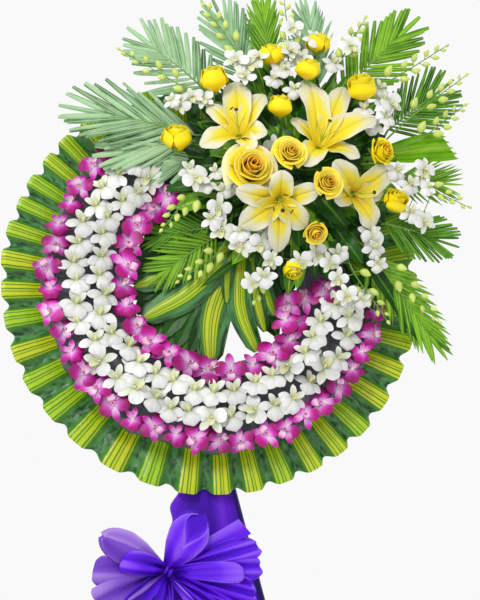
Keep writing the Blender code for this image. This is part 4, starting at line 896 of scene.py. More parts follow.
def lilies():
    """Four lilies, each with a neck, six stamens and a pistil."""
    rng = random.Random(SEED + 4)
    for name, (throat, axis, tips) in LILIES.items():
        throat = np.array(throat)
        axis = unit(axis)
        matrix = facing(axis)
        parts = []
        for k, tip in enumerate(tips):
            start = throat - axis * (0.0025 * (k % 2))
            parts.append(lily_petal(start, axis, np.array(tip), LILY_HALVES[k % 2], rng))
        base = throat - axis * LILY_NECK
        parts.append(tube([base - axis * 0.003, base, base + axis * 0.015, throat - axis * 0.018],
                          (0.004, 0.0055, 0.008, 0.0105), 9, 0.6, NECK))
        heart = throat - axis * 0.01
        for k in range(6):
            lean = on_ring(1.0, 60 * k + 25 + rng.uniform(-10, 10), 0.0) @ matrix
            end = throat + axis * rng.uniform(0.048, 0.060) + lean * rng.uniform(0.016, 0.024)
            path = bezier(heart, throat + axis * 0.025, end - axis * 0.012 - lean * 0.004, end, 8)
            parts.append(tube(path, np.linspace(0.0011, 0.0007, 8), 5, 0.8, THREAD))
            if k in ANTHERS.get(name, ()):
                bar = unit(np.cross(lean, axis)) * 0.0055
                parts.append(tube([end - bar, end - bar * 0.5, end + bar * 0.5, end + bar],
                                  (0.0007, 0.0015, 0.0015, 0.0007), 5, 0.5, POLLEN))
        top = throat + axis * 0.070 + on_ring(0.006, 250, 0.0) @ matrix
        path = bezier(heart, throat + axis * 0.03, top - axis * 0.02, top, 8)
        parts.append(tube(path, PISTIL_RADII, 6, 0.7, THREAD))
        stigma = [top, top + axis * 0.0016, top + axis * 0.0034]
        parts.append(tube(stigma, (0.0036, 0.0046, 0.0022), 7, 0.2, POLLEN))
        petals = LILY_GOLD_SHADED if name in SHADED_GOLD_LILIES else LILY
        build(f"{name}_bloom", parts, [petals, FRESH_LEAF, ANTHER, FILAMENT], name)


# The palm fronds and broad leaves

# Outlines of a frond's leaflets, with a point or cut square
POINTED = ((0.0, 0.12, 0.45, 0.75, 0.92, 1.0), (0.35, 0.85, 1.0, 0.72, 0.32, 0.06))
SQUARE = ((0.0, 0.12, 0.45, 0.75, 0.92, 1.0), (0.35, 0.85, 1.0, 0.9, 0.75, 0.6))
# The finishes of leaves, in the order of PALM_FINISHES, where stems come third
PLAIN, DARK, FRESH, MINTY = 0, 1, 3, 4
# Each palm: its hub on the dome, the way out there, then its fronds as base, tip, leaflet length,
# leaflets a side, their angle to the rib, their outline and finish
PALMS = {
    "palm_left": ((0.0061, 0.3041, 0.0592), (-0.689, 0.549, 0.473), (
        ((0.000, 0.382, 0.072), (-0.125, 0.490, 0.076), 0.088, 13, 46, SQUARE, PLAIN),
        ((-0.040, 0.300, 0.076), (-0.224, 0.340, 0.080), 0.122, 15, 28, SQUARE, PLAIN),
        ((-0.030, 0.292, 0.066), (-0.165, 0.268, 0.068), 0.105, 10, 20, SQUARE, PLAIN),
        ((0.010, 0.262, 0.062), (-0.100, 0.232, 0.062), 0.065, 9, 26, SQUARE, PLAIN))),
    "palm_top": ((0.1098, 0.3903, 0.0552), (-0.382, 0.794, 0.473), (
        ((0.085, 0.420, 0.060), (0.030, 0.545, 0.066), 0.090, 12, 34, SQUARE, MINTY),
        ((0.122, 0.425, 0.060), (0.110, 0.570, 0.074), 0.075, 12, 28, POINTED, FRESH))),
    "palm_top_right": ((0.2403, 0.3806, 0.0553), (0.382, 0.794, 0.473), (
        ((0.225, 0.420, 0.0575), (0.212, 0.560, 0.061), 0.080, 12, 28, POINTED, MINTY),
        ((0.275, 0.405, 0.060), (0.400, 0.530, 0.076), 0.090, 14, 38, SQUARE, FRESH))),
    "palm_right": ((0.3407, 0.2690, 0.0526), (0.859, 0.196, 0.473), (
        ((0.375, 0.325, 0.062), (0.470, 0.398, 0.070), 0.088, 13, 38, SQUARE, PLAIN),
        ((0.385, 0.215, 0.062), (0.470, 0.205, 0.080), 0.074, 12, 34, POINTED, FRESH))),
    "palm_lower_right": ((0.3191, 0.1157, 0.0544), (0.689, -0.549, 0.473), (
        ((0.355, 0.115, 0.074), (0.450, 0.085, 0.080), 0.078, 12, 34, SQUARE, PLAIN),
        ((0.320, 0.050, 0.076), (0.435, -0.120, 0.084), 0.085, 15, 32, POINTED, FRESH))),
    "palm_hole": ((0.0450, 0.1180, 0.0220), (-0.700, -0.300, -0.300), (
        ((0.020, 0.118, 0.0200), (-0.108, 0.098, 0.016), 0.064, 12, 36, POINTED, PLAIN),
        ((0.010, 0.098, 0.030), (-0.098, 0.024, 0.024), 0.068, 13, 42, POINTED, FRESH))),
}
# The broad leaves that end beyond the dome: their spines and half widths
PLEATED_LEAF = ((0.3407, 0.2690, 0.0526), (0.385, 0.272, 0.070), (0.450, 0.280, 0.080),
                (0.498, 0.284, 0.086))
PLEATED_HALF = 0.033
LOW_LEAF = ((0.3191, 0.1157, 0.0544), (0.318, 0.035, 0.086), (0.365, -0.0515, 0.088), (0.412, -0.138, 0.090))
LOW_HALF = 0.014
# Dark glossy leaves between the flowers: where each ends, its length and half width
DARK_LEAVES = ((-0.034, 0.313, 0.120, 0.07, 0.018), (0.133, 0.308, 0.125, 0.08, 0.020),
               (0.309, 0.277, 0.120, 0.09, 0.021), (0.309, 0.223, 0.120, 0.08, 0.019),
               (0.183, 0.211, 0.135, 0.08, 0.020), (0.262, 0.098, 0.118, 0.11, 0.027),
               (0.164, 0.050, 0.120, 0.08, 0.020), (0.240, 0.350, 0.115, 0.08, 0.020),
               (0.070, 0.110, 0.125, 0.08, 0.019), (0.020, 0.240, 0.122, 0.07, 0.018),
               (0.360, 0.330, 0.105, 0.08, 0.019), (0.300, 0.020, 0.105, 0.09, 0.020))
# Leaves all over the dome, leaves in two fans that close the garland's ends, and leaves round its top
FILLER_LEAVES = 135
END_LEAVES = 32
END_FANS = (("palm_left", 84.0, 121.0), ("palm_lower_right", -14.0, 40.0))
RIM_LEAVES = 34
RIM_SPAN = (38.0, 142.0)
RIM_FINISHES = (DARK, FRESH, PLAIN)
# Broad dark blades behind the opening: the direction in which each ends round it, and its half width
BACK_ROOT = (0.046, 0.104, 0.006)
BACK_REACH = 0.1745
BACK_LEAVES = (
    (112.0, 0.022), (123.0, 0.024), (134.0, 0.024), (146.0, 0.026), (157.0, 0.027), (168.0, 0.028),
    (179.0, 0.028), (190.0, 0.029), (201.0, 0.030), (212.0, 0.031), (223.0, 0.032), (234.0, 0.032),
    (245.0, 0.031), (256.0, 0.028), (263.0, 0.022), (321.0, 0.024), (333.0, 0.027), (345.0, 0.028),
    (357.0, 0.028),
)
# A slim leaf over the place where they are tied
TIE_LEAF = ((0.075, 0.060, 0.036), (0.020, 0.022, 0.034), (-0.030, -0.015, 0.026))
TIE_HALF = 0.009
# Outlines of the broad leaves
BROAD_BLADE = ((0.0, 0.1, 0.3, 0.55, 0.8, 0.93, 1.0), (0.10, 0.36, 0.86, 1.0, 0.66, 0.30, 0.03))
BLUNT_BLADE = ((0.0, 0.1, 0.3, 0.55, 0.8, 0.93, 1.0), (0.08, 0.20, 0.50, 0.86, 1.0, 0.74, 0.22))
PLEATED_BLADE = ((0.0, 0.15, 0.5, 0.8, 1.0), (0.10, 0.42, 0.84, 1.0, 0.96))
PLEATS = 2.5
LEAFLET_THICK = 0.0007
LEAF_THICK = 0.0011
STALK_RADIUS = 0.0026
RIB_ARCH = 0.012


def hub_stem(hub, out, behind, before, radii):
    """The short stem at a hub, from behind it to before it."""
    return tube([hub - out * behind, hub, hub + out * before], radii, 6, 0.4, STEM)


def frond(base, tip, length, count, angle, outline, finish, rng):
    """A palm frond: folded leaflets in pairs along an arched rib."""
    base = np.array(base)
    run = np.array(tip) - base
    ahead = unit(run)
    side, rise = axes_along(ahead)
    t = np.linspace(0.0, 1.0, 9)
    shares = np.linspace(0.0, 1.0, 12)[:, None]
    rib = base + run * shares + rise * (RIB_ARCH * wave(shares))
    parts = [tube(rib, np.linspace(STALK_RADIUS, 0.0009, 12), 6, 0.8, STEM)]
    widest = min(np.linalg.norm(run) / count * 0.42, length * 0.085)
    for k in range(2 * count + 1):
        hand = -1.0 if k % 2 else 1.0
        share = min(1.0, (k * 0.5 + 0.4) / count)
        swing = math.radians(angle * (1.30 - 0.75 * share) + rng.uniform(-3, 3)) * (k < 2 * count)
        spot = base + run * share + rise * (RIB_ARCH * wave(share))
        way = ahead * math.cos(swing) + side * (hand * math.sin(swing)) + rise * rng.uniform(-0.10, 0.06)
        reach = length * (0.72 + 0.5 * wave(0.15 + 0.75 * share)) * rng.uniform(0.92, 1.02)
        sag = (rise * -rng.uniform(0.03, 0.10) + side * (hand * rng.uniform(-0.04, 0.02))) * reach
        spine = spot + unit(way) * (t * reach)[:, None] + sag * (t ** 2)[:, None]
        half = widest * rng.uniform(0.85, 1.12)
        look = rise + side * (hand * rng.uniform(-0.25, 0.35))
        grid = blade(spine, look, half * np.interp(t, *outline), 5, fold=-0.45)
        parts.append(slab(grid, LEAFLET_THICK, rng.uniform(0.1, 1.0), finish))
    return join(parts)


def broad_leaf(points, half, rng, finish, columns=7, outline=BROAD_BLADE):
    """A broad leaf along a few points."""
    spine = curve(points, 5)
    s, t = grid_lines(columns, len(spine))
    edge = 0.10 * np.sin(11.0 * t + rng.uniform(0, 6) + np.sign(s)) * s ** 2
    grid = blade(spine, FACE_OUT, half * np.interp(t[:, 0], *outline), columns, fold=0.22, ripple=edge)
    return slab(grid, LEAF_THICK, rng.uniform(0.1, 0.9), finish)


def pleated_leaf(rng):
    """A leaf that widens all the way to a stepped end, in pleats along its length."""
    spine = curve(PLEATED_LEAF, 5)
    s, t = grid_lines(25, len(spine))
    in_pleat = np.mod(PLEATS * s + 0.5, 1.0)
    pleats = 0.24 * np.abs(in_pleat * 2.0 - 1.0)
    grid = blade(spine, FACE_OUT, PLEATED_HALF * np.interp(t[:, 0], *PLEATED_BLADE), 25, ripple=pleats)
    step = smooth(0.5, 1.0, t) * (0.010 * in_pleat + 0.014 * s)
    grid = grid + unit(spine[-1] - spine[-2]) * step[..., None]
    return slab(grid, LEAF_THICK, rng.uniform(0.6, 0.9), FRESH)


def dome_leaf(u, v, w, length, half, rng, finish):
    """A leaf that rises from the dome and ends at a place above it."""
    tip = np.array([u, v, w])
    foot = tip - unit((u - DOME_U, v - DOME_V, 0.0)) * length
    foot[2] = dome_height(foot[0], foot[1]) - 0.004
    middle = lerp(foot, tip, 0.5) + (0.0, 0.0, 0.012)
    return broad_leaf([foot, middle, tip - (0.0, 0.0, 0.004)], half, rng, finish)


def nearest_palm(u, v):
    """The palm whose hub is nearest: it carries the leaves round there."""
    hubs = {name: palm[0] for name, palm in PALMS.items() if name != "palm_hole"}
    return min(hubs, key=lambda name: math.hypot(hubs[name][0] - u, hubs[name][1] - v))


def palm_fronds(hub, out, fronds, rng):
    """A palm's hub, and its fronds on their stalks."""
    hub = np.array(hub)
    out = unit(out)
    parts = [hub_stem(hub, out, 0.008, 0.006, (0.0045, 0.0042, 0.0036))]
    for line in fronds:
        base = np.array(line[0])
        parts.append(frond(*line, rng))
        stalk = bezier(hub, hub + out * 0.012, lerp(hub, base, 0.7), base, 7)
        parts.append(tube(stalk, STALK_RADIUS, 6, 0.7, STEM))
    return parts


def back_leaves(rng):
    """The dark blades behind the opening, each a little further back, and a slim one over their tie."""
    parts = []
    for number, (direction, half) in enumerate(BACK_LEAVES):
        foot = np.array(BACK_ROOT) - (0.0, 0.0, 0.0011 * number)
        tip = on_ring(BACK_REACH, direction, -0.004 - 0.0008 * number)
        middle = lerp(foot, tip, 0.5) + (0.0, 0.0, 0.006)
        parts.append(broad_leaf([foot, middle, tip], half, rng, DARK, outline=BLUNT_BLADE))
    return parts + [broad_leaf(TIE_LEAF, TIE_HALF, rng, DARK)]


def around_dome(reach, angle):
    """The place at a reach and an angle from the dome's middle."""
    return DOME_U + reach * math.cos(angle), DOME_V + reach * math.sin(angle)


def palms():
    """The fronds, and the leaves that stand between the flowers, each with the palm nearest to it."""
    rng = random.Random(SEED + 5)
    parts = {}
    for name, (hub, out, fronds) in PALMS.items():
        parts[name] = palm_fronds(hub, out, fronds, rng)
        if name == "palm_hole":
            parts[name] += back_leaves(rng)
        if name == "palm_right":
            parts[name].append(pleated_leaf(rng))
        if name == "palm_lower_right":
            parts[name].append(broad_leaf(LOW_LEAF, LOW_HALF, rng, DARK, 9))
    for u, v, w, length, half in DARK_LEAVES:
        parts[nearest_palm(u, v)].append(dome_leaf(u, v, w, length, half, rng, DARK))
    for k in range(FILLER_LEAVES):
        reach = DOME_RADIUS * (0.28 + 0.96 * math.sqrt((k + 0.5) / FILLER_LEAVES))
        u, v = around_dome(reach, math.radians(GOLDEN_TURN * k))
        low = dome_height(u, v) if reach < DOME_RADIUS else DOME_BACK + 0.022
        w = low + rng.uniform(0.012, 0.032)
        finish = DARK if rng.random() < 0.55 else FRESH
        length = rng.uniform(0.06, 0.10)
        half = length * rng.uniform(0.17, 0.25)
        parts[nearest_palm(u, v)].append(dome_leaf(u, v, w, length, half, rng, finish))
    for k in range(END_LEAVES):
        for name, low, high in END_FANS:
            direction = lerp(low, high, (k + 0.5) / END_LEAVES)
            tip = on_ring(rng.uniform(0.14, 0.36), direction, rng.uniform(0.050, 0.066))
            size = (rng.uniform(0.08, 0.11), rng.uniform(0.014, 0.021))
            parts[name].append(dome_leaf(*tip, *size, rng, DARK if k % 3 else FRESH))
    for k in range(RIM_LEAVES):
        direction = math.radians(lerp(*RIM_SPAN, (k + 0.5) / RIM_LEAVES))
        u, v = around_dome(DOME_RADIUS * rng.uniform(1.12, 1.52), direction)
        shape = (rng.uniform(0.050, 0.074), rng.uniform(0.09, 0.13), rng.uniform(0.011, 0.018))
        parts[nearest_palm(u, v)].append(dome_leaf(u, v, *shape, rng, RIM_FINISHES[k % 3]))
    for name, leaves in parts.items():
        if name == "palm_left":
            build("palm_left_leaves", leaves, [PALM_PALE, *PALM_FINISHES[1:]], name)
        else:
            build(f"{name}_leaves", leaves, PALM_FINISHES, name)


# The striped leaves in the ring's opening: spines and half widths, the broad ones first

OPENING_LEAVES = (
    (((0.050, 0.078, 0.0220), (-0.050, -0.020, 0.016), (-0.150, -0.078, 0.006)), 0.038),
    (((0.050, 0.082, 0.0240), (-0.080, 0.022, 0.018), (-0.166, -0.010, 0.006)), 0.030),
    (((0.058, 0.078, 0.0235), (0.000, -0.060, 0.008), (-0.008, -0.170, -0.006)), 0.044),
    (((0.062, 0.078, 0.0220), (0.054, -0.050, 0.018), (0.088, -0.148, 0.008)), 0.030),
    (((0.062, 0.080, 0.0240), (0.096, 0.010, 0.012), (0.128, -0.070, 0.004)), 0.024),
    (((0.056, 0.080, 0.0230), (0.030, 0.030, 0.024), (0.026, -0.045, 0.014)), 0.016),
    (((0.060, 0.080, 0.0200), (0.080, 0.005, 0.014), (0.108, -0.104, 0.002)), 0.024),
    (((0.054, 0.082, 0.0210), (-0.020, 0.050, 0.010), (-0.150, 0.040, 0.000)), 0.022),
)
OPENING_ENDS = ((0.0, 0.1, 0.93, 1.0), (0.4, 1.0, 0.8, 0.3))
OPENING_LEAF_THICK = 0.0012
OPENING_TIE = ((0.056, 0.080, 0.030), (0.056, 0.080, 0.022), (0.056, 0.080, 0.016))
TIE_RADIUS = 0.010


def opening_leaves():
    """Striped leaves that spread from a tie at the upper right of the opening."""
    rng = random.Random(SEED + 6)
    parts = [tube(OPENING_TIE, TIE_RADIUS, 10, 0.3)]
    for points, half in OPENING_LEAVES:
        spine = curve(points, 12)
        s, t = grid_lines(11, len(spine))
        halves = half * (0.30 + 0.70 * wave(0.10 + 0.74 * t[:, 0])) * np.interp(t[:, 0], *OPENING_ENDS)
        edge = 0.10 * np.sin(8.0 * t + rng.uniform(0, 6) + np.sign(s)) * s ** 2
        grid = blade(spine, FACE_OUT, halves, 11, fold=-0.22, ripple=edge)
        parts.append(slab(grid, OPENING_LEAF_THICK, rng.uniform(0.2, 0.9)))
    build("opening_leaves", parts, [STRIPED], "striped_leaves")


# The white orchid sprays

# Each spray: its hub on the dome, then its branches: where each bends and ends, and its number of buds
SPRAYS = {
    "spray_upper_left": ((0.0554, 0.3257, 0.0777), (
        ((-0.040, 0.375, 0.112), (-0.197, 0.470, 0.108), 10),)),
    "spray_top": ((0.1018, 0.3663, 0.0726), (
        ((0.062, 0.450, 0.104), (-0.025, 0.590, 0.100), 10),
        ((0.155, 0.460, 0.106), (0.152, 0.600, 0.100), 10))),
    "spray_top_right": ((0.2382, 0.3613, 0.0727), (
        ((0.268, 0.460, 0.104), (0.325, 0.560, 0.100), 9),
        ((0.370, 0.420, 0.106), (0.500, 0.505, 0.098), 11))),
    "spray_right": ((0.3289, 0.2636, 0.0688), (
        ((0.420, 0.345, 0.106), (0.540, 0.438, 0.098), 10),
        ((0.430, 0.292, 0.104), (0.535, 0.372, 0.096), 9),
        ((0.415, 0.200, 0.106), (0.530, 0.150, 0.098), 9))),
    "spray_lower_right": ((0.2688, 0.0959, 0.0773), (
        ((0.350, 0.020, 0.106), (0.455, -0.095, 0.098), 9),
        ((0.275, 0.010, 0.108), (0.345, -0.095, 0.100), 8))),
    "spray_lower_left": ((0.0377, 0.1482, 0.0853), (
        ((-0.050, 0.160, 0.104), (-0.112, 0.095, 0.094), 9),
        ((0.005, 0.050, 0.098), (-0.078, -0.012, 0.084), 9))),
    "spray_bottom": ((0.1138, 0.0625, 0.0750), (
        ((0.092, 0.020, 0.096), (0.075, -0.050, 0.084), 6),)),
}
# Where the open white flowers stand
SPRAY_FLOWERS = (
    (0.070, 0.443), (-0.028, 0.366), (0.156, 0.475), (0.140, 0.430), (0.120, 0.411), (0.162, 0.391),
    (-0.095, 0.357), (-0.049, 0.192), (-0.006, 0.206), (0.008, 0.166), (0.119, 0.263), (0.310, 0.348),
    (0.359, 0.334), (0.352, 0.369), (0.377, 0.205), (0.426, 0.199), (0.439, 0.182), (0.399, 0.125),
    (0.431, 0.111), (0.315, 0.083), (0.320, 0.049), (0.329, 0.018), (-0.016, 0.108), (0.045, 0.058),
    (0.084, 0.055), (0.106, 0.024), (0.064, -0.023), (0.088, -0.014), (0.202, 0.037), (0.244, 0.038),
    (0.242, -0.015), (0.257, -0.050), (0.290, -0.059), (0.163, 0.528), (0.153, 0.478), (0.180, 0.457),
    (0.137, 0.442), (0.088, 0.458), (0.041, 0.452), (0.058, 0.417), (0.251, 0.454), (0.286, 0.491),
    (0.348, 0.399), (0.368, 0.364), (0.331, 0.319), (0.374, 0.215), (0.401, 0.185), (0.435, 0.220),
    (-0.053, 0.370), (-0.059, 0.210), (-0.027, 0.185), (0.021, 0.178), (-0.001, 0.130), (0.042, 0.080),
    (0.005, 0.088), (0.087, 0.081), (0.164, 0.019), (0.227, 0.019), (0.317, 0.067), (-0.078, 0.352),
    (0.205, 0.502),
)
SPRAY_FLOWER_W = 0.122
SPRAY_FLOWER_RADIUS = 0.0300
# The share of a branch that is bare below its first bud
BARE_SHARE = 0.46


def spray_branch(path, buds, rng):
    """A stem with buds on short stalks, smaller and closer together towards its tip."""
    parts = [tube(path, np.linspace(0.0022, 0.0009, len(path)), 6, 0.6, STEM)]
    lengths = np.concatenate(([0.0], np.cumsum(np.linalg.norm(np.diff(path, axis=0), axis=1))))
    for number in range(buds):
        rank = number / (buds - 1)
        spot_at = lengths[-1] * (BARE_SHARE + (1.0 - BARE_SHARE) * rank ** 0.85)
        spot = np.array([np.interp(spot_at, lengths, path[:, k]) for k in range(3)])
        ahead = unit(path[-1] - path[-3]) if rank > 0.7 else unit(path[-1] - path[len(path) // 2])
        side, rise = axes_along(ahead)
        hand = 1.0 if number % 2 else -1.0
        out = unit(side * (hand * rng.uniform(0.5, 1.0)) + rise * rng.uniform(-0.1, 0.8) + ahead * 0.5)
        length = lerp(0.026, 0.011, rank) * rng.uniform(0.9, 1.1)
        if number == buds - 1:
            out = ahead
        head = spot + out * lerp(0.014, 0.003, rank)
        stalk = [spot, lerp(spot, head, 0.5) + ahead * 0.001, head + out * 0.001]
        parts.append(tube(stalk, 0.0009, 5, 0.6, STEM))
        axis = unit(out * 0.7 + ahead * 0.6 + (0.0, 0.0, rng.uniform(-0.1, 0.3)))
        matrix = spun(rng.uniform(0, 360)) @ facing(axis, (0.3, 1.0, 0.2)) * length
        parts.append(BUD.moved(matrix, head, rng.uniform(0.1, 0.95)))
    return parts


def spray_flower(spot, joint, rng):
    """An open flower at a spot, on a stalk from a joint of the nearest branch."""
    axis = unit(((spot[0] - DOME_U) / LEAN_REACH * 0.35 + rng.uniform(-0.25, 0.25),
                 (spot[1] - DOME_V) / LEAN_REACH * 0.35 + rng.uniform(-0.25, 0.25), 1.0))
    radius = SPRAY_FLOWER_RADIUS * rng.uniform(0.74, 1.04)
    matrix = spun(rng.uniform(-40, 40)) @ facing(axis) * radius
    orchid = rng.choice(HANGING_ORCHIDS if rng.random() < 0.5 else OPEN_ORCHIDS)
    neck = spot - axis * radius * 0.4
    stalk = bezier(joint, lerp(joint, neck, 0.4) - (0, 0, 0.004), neck - axis * 0.006, neck, 7)
    return [orchid.moved(matrix, spot, rng.uniform(0.3, 0.95)), tube(stalk, 0.0010, 5, 0.6, STEM)]


def sprays():
    """The sprays' branches with buds, and open flowers on stalks from the nearest branch."""
    rng = random.Random(SEED + 7)
    parts = {}
    paths = []
    for name, (hub, branches) in SPRAYS.items():
        hub = np.array(hub)
        inward = unit((DOME_U - hub[0], DOME_V - hub[1], -0.12))
        parts[name] = [hub_stem(hub, -inward, 0.006, 0.005, (0.0045, 0.004, 0.0036))]
        for bend, tip, buds in branches:
            path = curve([hub, bend, tip], 8)
            paths.append((name, path))
            parts[name] += spray_branch(path, buds, rng)
    for u, v in SPRAY_FLOWERS:
        spot = np.array([u, v, SPRAY_FLOWER_W + rng.uniform(-0.006, 0.010)])
        name, path = min(paths, key=lambda item: np.linalg.norm(item[1] - spot, axis=1).min())
        joint = path[np.linalg.norm(path - spot, axis=1).argmin()]
        parts[name] += spray_flower(spot, joint, rng)
    for name, pieces in parts.items():
        build(f"{name}_stems", pieces, WHITE_FINISHES, name)


# The drape

EASEL_U = -0.0125
POLE_W = -0.0454
# Half the spread of the front legs at a height on the wreath, and how it grows below that
LEG_V = -0.48
LEG_SPREAD = 0.0565
LEG_SLOPE = 0.245
SKIRT_TOP = -0.40
SKIRT_BOTTOM = -1.045
# How far the cloth stands out round a leg, in front of it and behind it
WRAP = 0.0134
WRAP_FRONT = 0.0135
WRAP_BACK = 0.018
# The share of the cloth that goes round each leg, and how far its corner stands out
CORNER = 0.10
CORNER_ROUND = 0.010
# How far the left side bulges, and at what height
BULGE = 0.014
BULGE_V = -0.462
# The folds: how many waves cross the front, their phase and their share
FOLDS = ((1.9, 1.2, 0.50), (4.3, 1.9, 0.16), (9.6, 4.0, 0.05))
DRAPE_THICK = 0.0011


def drape():
    """The cloth round the front legs, gathered in soft folds and open at the back."""
    t = np.linspace(0.0, 1.0, 90)[:, None]
    around = np.linspace(0.0, 1.0, 150)[None]
    v = lerp(SKIRT_TOP, SKIRT_BOTTOM, t)
    half = LEG_SPREAD + LEG_SLOPE * (LEG_V - v) + WRAP - CORNER_ROUND
    # From the back edge round the left leg, over the front and round the right leg
    left = np.clip(around / CORNER, 0.0, 1.0)
    right = np.clip((1.0 - around) / CORNER, 0.0, 1.0)
    front = np.clip((around - CORNER) / (1.0 - 2 * CORNER), 0.0, 1.0)
    x = lerp(-half, half, front)
    x = x - CORNER_ROUND * wave(left) * (front <= 0) + CORNER_ROUND * wave(right) * (front >= 1)
    x = x - BULGE * hump(v, BULGE_V, 0.022) * (1.0 - smooth(0.0, 0.35, front))
    turned = smooth(0.0, 1.0, 1.0 - left) + smooth(0.0, 1.0, 1.0 - right)
    w = POLE_W + WRAP_FRONT - (WRAP_BACK + WRAP_FRONT) * turned
    folds = 0.5
    for waves, phase, share in FOLDS:
        angle = 2 * math.pi * waves * front + phase + 0.5 * np.sin(3.0 * t + waves)
        folds = folds + 0.5 * share * np.cos(angle)
    envelope = np.sqrt(wave(front))
    w = w + envelope * (lerp(0.003, 0.016, t) * folds + 0.0012 * np.sin(9.0 * t + 20.0 * around))
    hem = v + 0.002 * np.sin(14 * around + 1) * t ** 3
    grid = np.stack(np.broadcast_arrays(EASEL_U + x, hem, w), -1)
    # Painted light and shade: a lit band on the front and one at the left corner, the folds lighter where
    # they stand out and darker where they sink, and a painted shadow along the right edge
    tones = 0.30 + 0.50 * hump(front, 0.72, 0.12) + 0.35 * hump(front, 0.04, 0.12) + 0.20 * (folds - 0.5)
    tones = np.clip(tones - 0.9 * smooth(0.970, 0.995, front), 0.0, 1.0)
    piece = build("drape_cloth", [slab(grid, DRAPE_THICK, tones)], [DRAPE], "cloth_skirt")


# The bow

KNOT = np.array([-0.105, -0.594, -0.0155])
KNOT_SLOPE = -32.0
KNOT_HALF = 0.019
KNOT_RADIUS = 0.0150
BOW_ARCH = 0.010
RIBBON_THICK = 0.0007
# The round loops: the tip from the knot, the half width, the depth, how far the front layer's end is
# notched, the tone of the front and of the inside as painted light and shade, and the finish, which is 1 for
# sheer ribbon
ROUND_LOOPS = (
    ((-0.131, 0.068, 0.057), 0.035, 0.012, 0.0, 0.52, 0.52, 1),
    ((0.064, 0.106, 0.063), 0.042, 0.014, 0.52, 0.72, 0.34, 0),
)
# The loops seen flat: the tip from the knot, the half width, the depth, the pleats, the tone as painted
# light and shade, and the finish
FLAT_LOOPS = (
    ((-0.150, 0.000, 0.049), 0.031, 0.012, 1.2, 0.38, 1),
    ((-0.138, -0.066, 0.047), 0.036, 0.014, 1.7, 0.46, 1),
    ((-0.092, 0.020, 0.061), 0.024, 0.012, 1.6, 0.46, 0),
    ((-0.088, -0.100, 0.057), 0.030, 0.012, 1.1, 0.22, 0),
    ((-0.044, -0.112, 0.063), 0.017, 0.010, 0.8, 0.12, 0),
    ((0.180, 0.046, 0.053), 0.026, 0.012, 2.2, 0.42, 0),
    ((0.186, 0.004, 0.051), 0.028, 0.012, 2.4, 0.36, 0),
    ((0.148, -0.010, 0.069), 0.021, 0.009, 0.4, 0.58, 0),
    ((0.174, -0.052, 0.053), 0.032, 0.014, 3.2, 0.28, 0),
    ((0.140, -0.105, 0.053), 0.032, 0.012, 3.6, 0.36, 0),
)
# The tails: the tip from the knot, the half width, the turns of its twist, the pleats and the tone as
# painted light and shade
TAILS = (
    ((0.155, 0.083, 0.059), 0.019, 0.0, 0.6, 0.58),
    ((-0.065, -0.190, 0.053), 0.030, 0.1, 2.0, 0.34),
    ((0.010, -0.230, 0.057), 0.020, 0.8, 2.5, 0.50),
    ((0.120, -0.155, 0.061), 0.017, 0.1, 1.0, 0.86),
)
# Widths along a loop or tail, as shares of the half width
ROUND_WIDTHS = ((0.0, 0.2, 0.45, 0.7, 1.0), (0.22, 0.46, 0.80, 1.0, 1.0))
FLAT_WIDTHS = ((0.0, 0.15, 0.45, 0.8, 1.0), (0.20, 0.42, 0.80, 1.0, 0.96))
TAIL_WIDTHS = ((0.0, 0.2, 0.5, 1.0), (0.25, 0.60, 0.90, 1.0))
# Along a round loop's ribbon, out in the front layer and back in the other: how deep it lies
ROUND_DEPTHS = ((0.0, 0.22, 0.42, 0.60, 0.80, 1.0), (0.0, 1.0, 0.9, -0.5, -0.9, 0.0))
# Where along it the front layer ends, the bend ends and the way back starts
FRONT_END, BEND_END, BACK_START = 0.42, 0.58, 0.62


def ribbon(length, along, across, lift, tip, tones, finish):
    """Ribbon that leaves the knot: how far along, across and out each point of its grid lies."""
    ahead = unit(np.array(tip))
    side, rise = axes_along(ahead)
    grid = KNOT + ahead * (length * along)[..., None] + side * across[..., None] + rise * lift[..., None]
    return slab(grid, RIBBON_THICK, np.clip(tones, 0.0, 1.0), finish)


def round_loop(tip, half, deep, notch, tone, inside, finish, rng):
    """A loop with a round end: its front layer stops short in a notch and shows the inside of the bend."""
    s, k = grid_lines(33, 60)
    front_end = 1.0 - notch * np.maximum(0.0, 1.0 - np.abs(s - 0.12) ** 0.9)
    out = front_end * np.interp(k, (0.0, FRONT_END, 1.0), (0.0, 1.0, 1.0))
    back = np.interp(k, (0.0, BACK_START, 1.0), (1.0, 1.0, 0.0))
    along = lerp(out, 1.0, smooth(FRONT_END, BEND_END, k)) * back
    lift = deep * np.interp(k, *ROUND_DEPTHS) + BOW_ARCH * wave(along) - 0.010 * s ** 2 * along
    round_end = np.sqrt(np.maximum(0.02, 1.0 - np.clip((along - 0.58) / 0.42, 0.0, 1.0) ** 2.4))
    width = half * np.interp(along, *ROUND_WIDTHS) * round_end
    crumple = 0.0012 * np.cos(6.0 * s + rng.uniform(0, 6)) * (1.0 - along)
    # The tone is painted light and shade: the front's tone with bands across its width, the inside's own
    # tone, darker near the knot, lighter past a slanting line on sheer ribbon, and lighter at the front
    # layer's end and along both edges
    tones = lerp(tone + 0.10 * np.cos(6.0 * s), inside, smooth(0.44, 0.50, k))
    tones = tones - 0.40 * (1.0 - smooth(0.0, 0.38, along))
    tones = tones + 0.34 * finish * smooth(0.10, 0.22, s + 0.4 * along - 0.3)
    tones = tones + 0.30 * hump(k, 0.43, 0.012) + 0.20 * hump(np.abs(s), 0.98, 0.03)
    return ribbon(np.linalg.norm(tip), along, width * s, lift + crumple, tip, tones, finish)


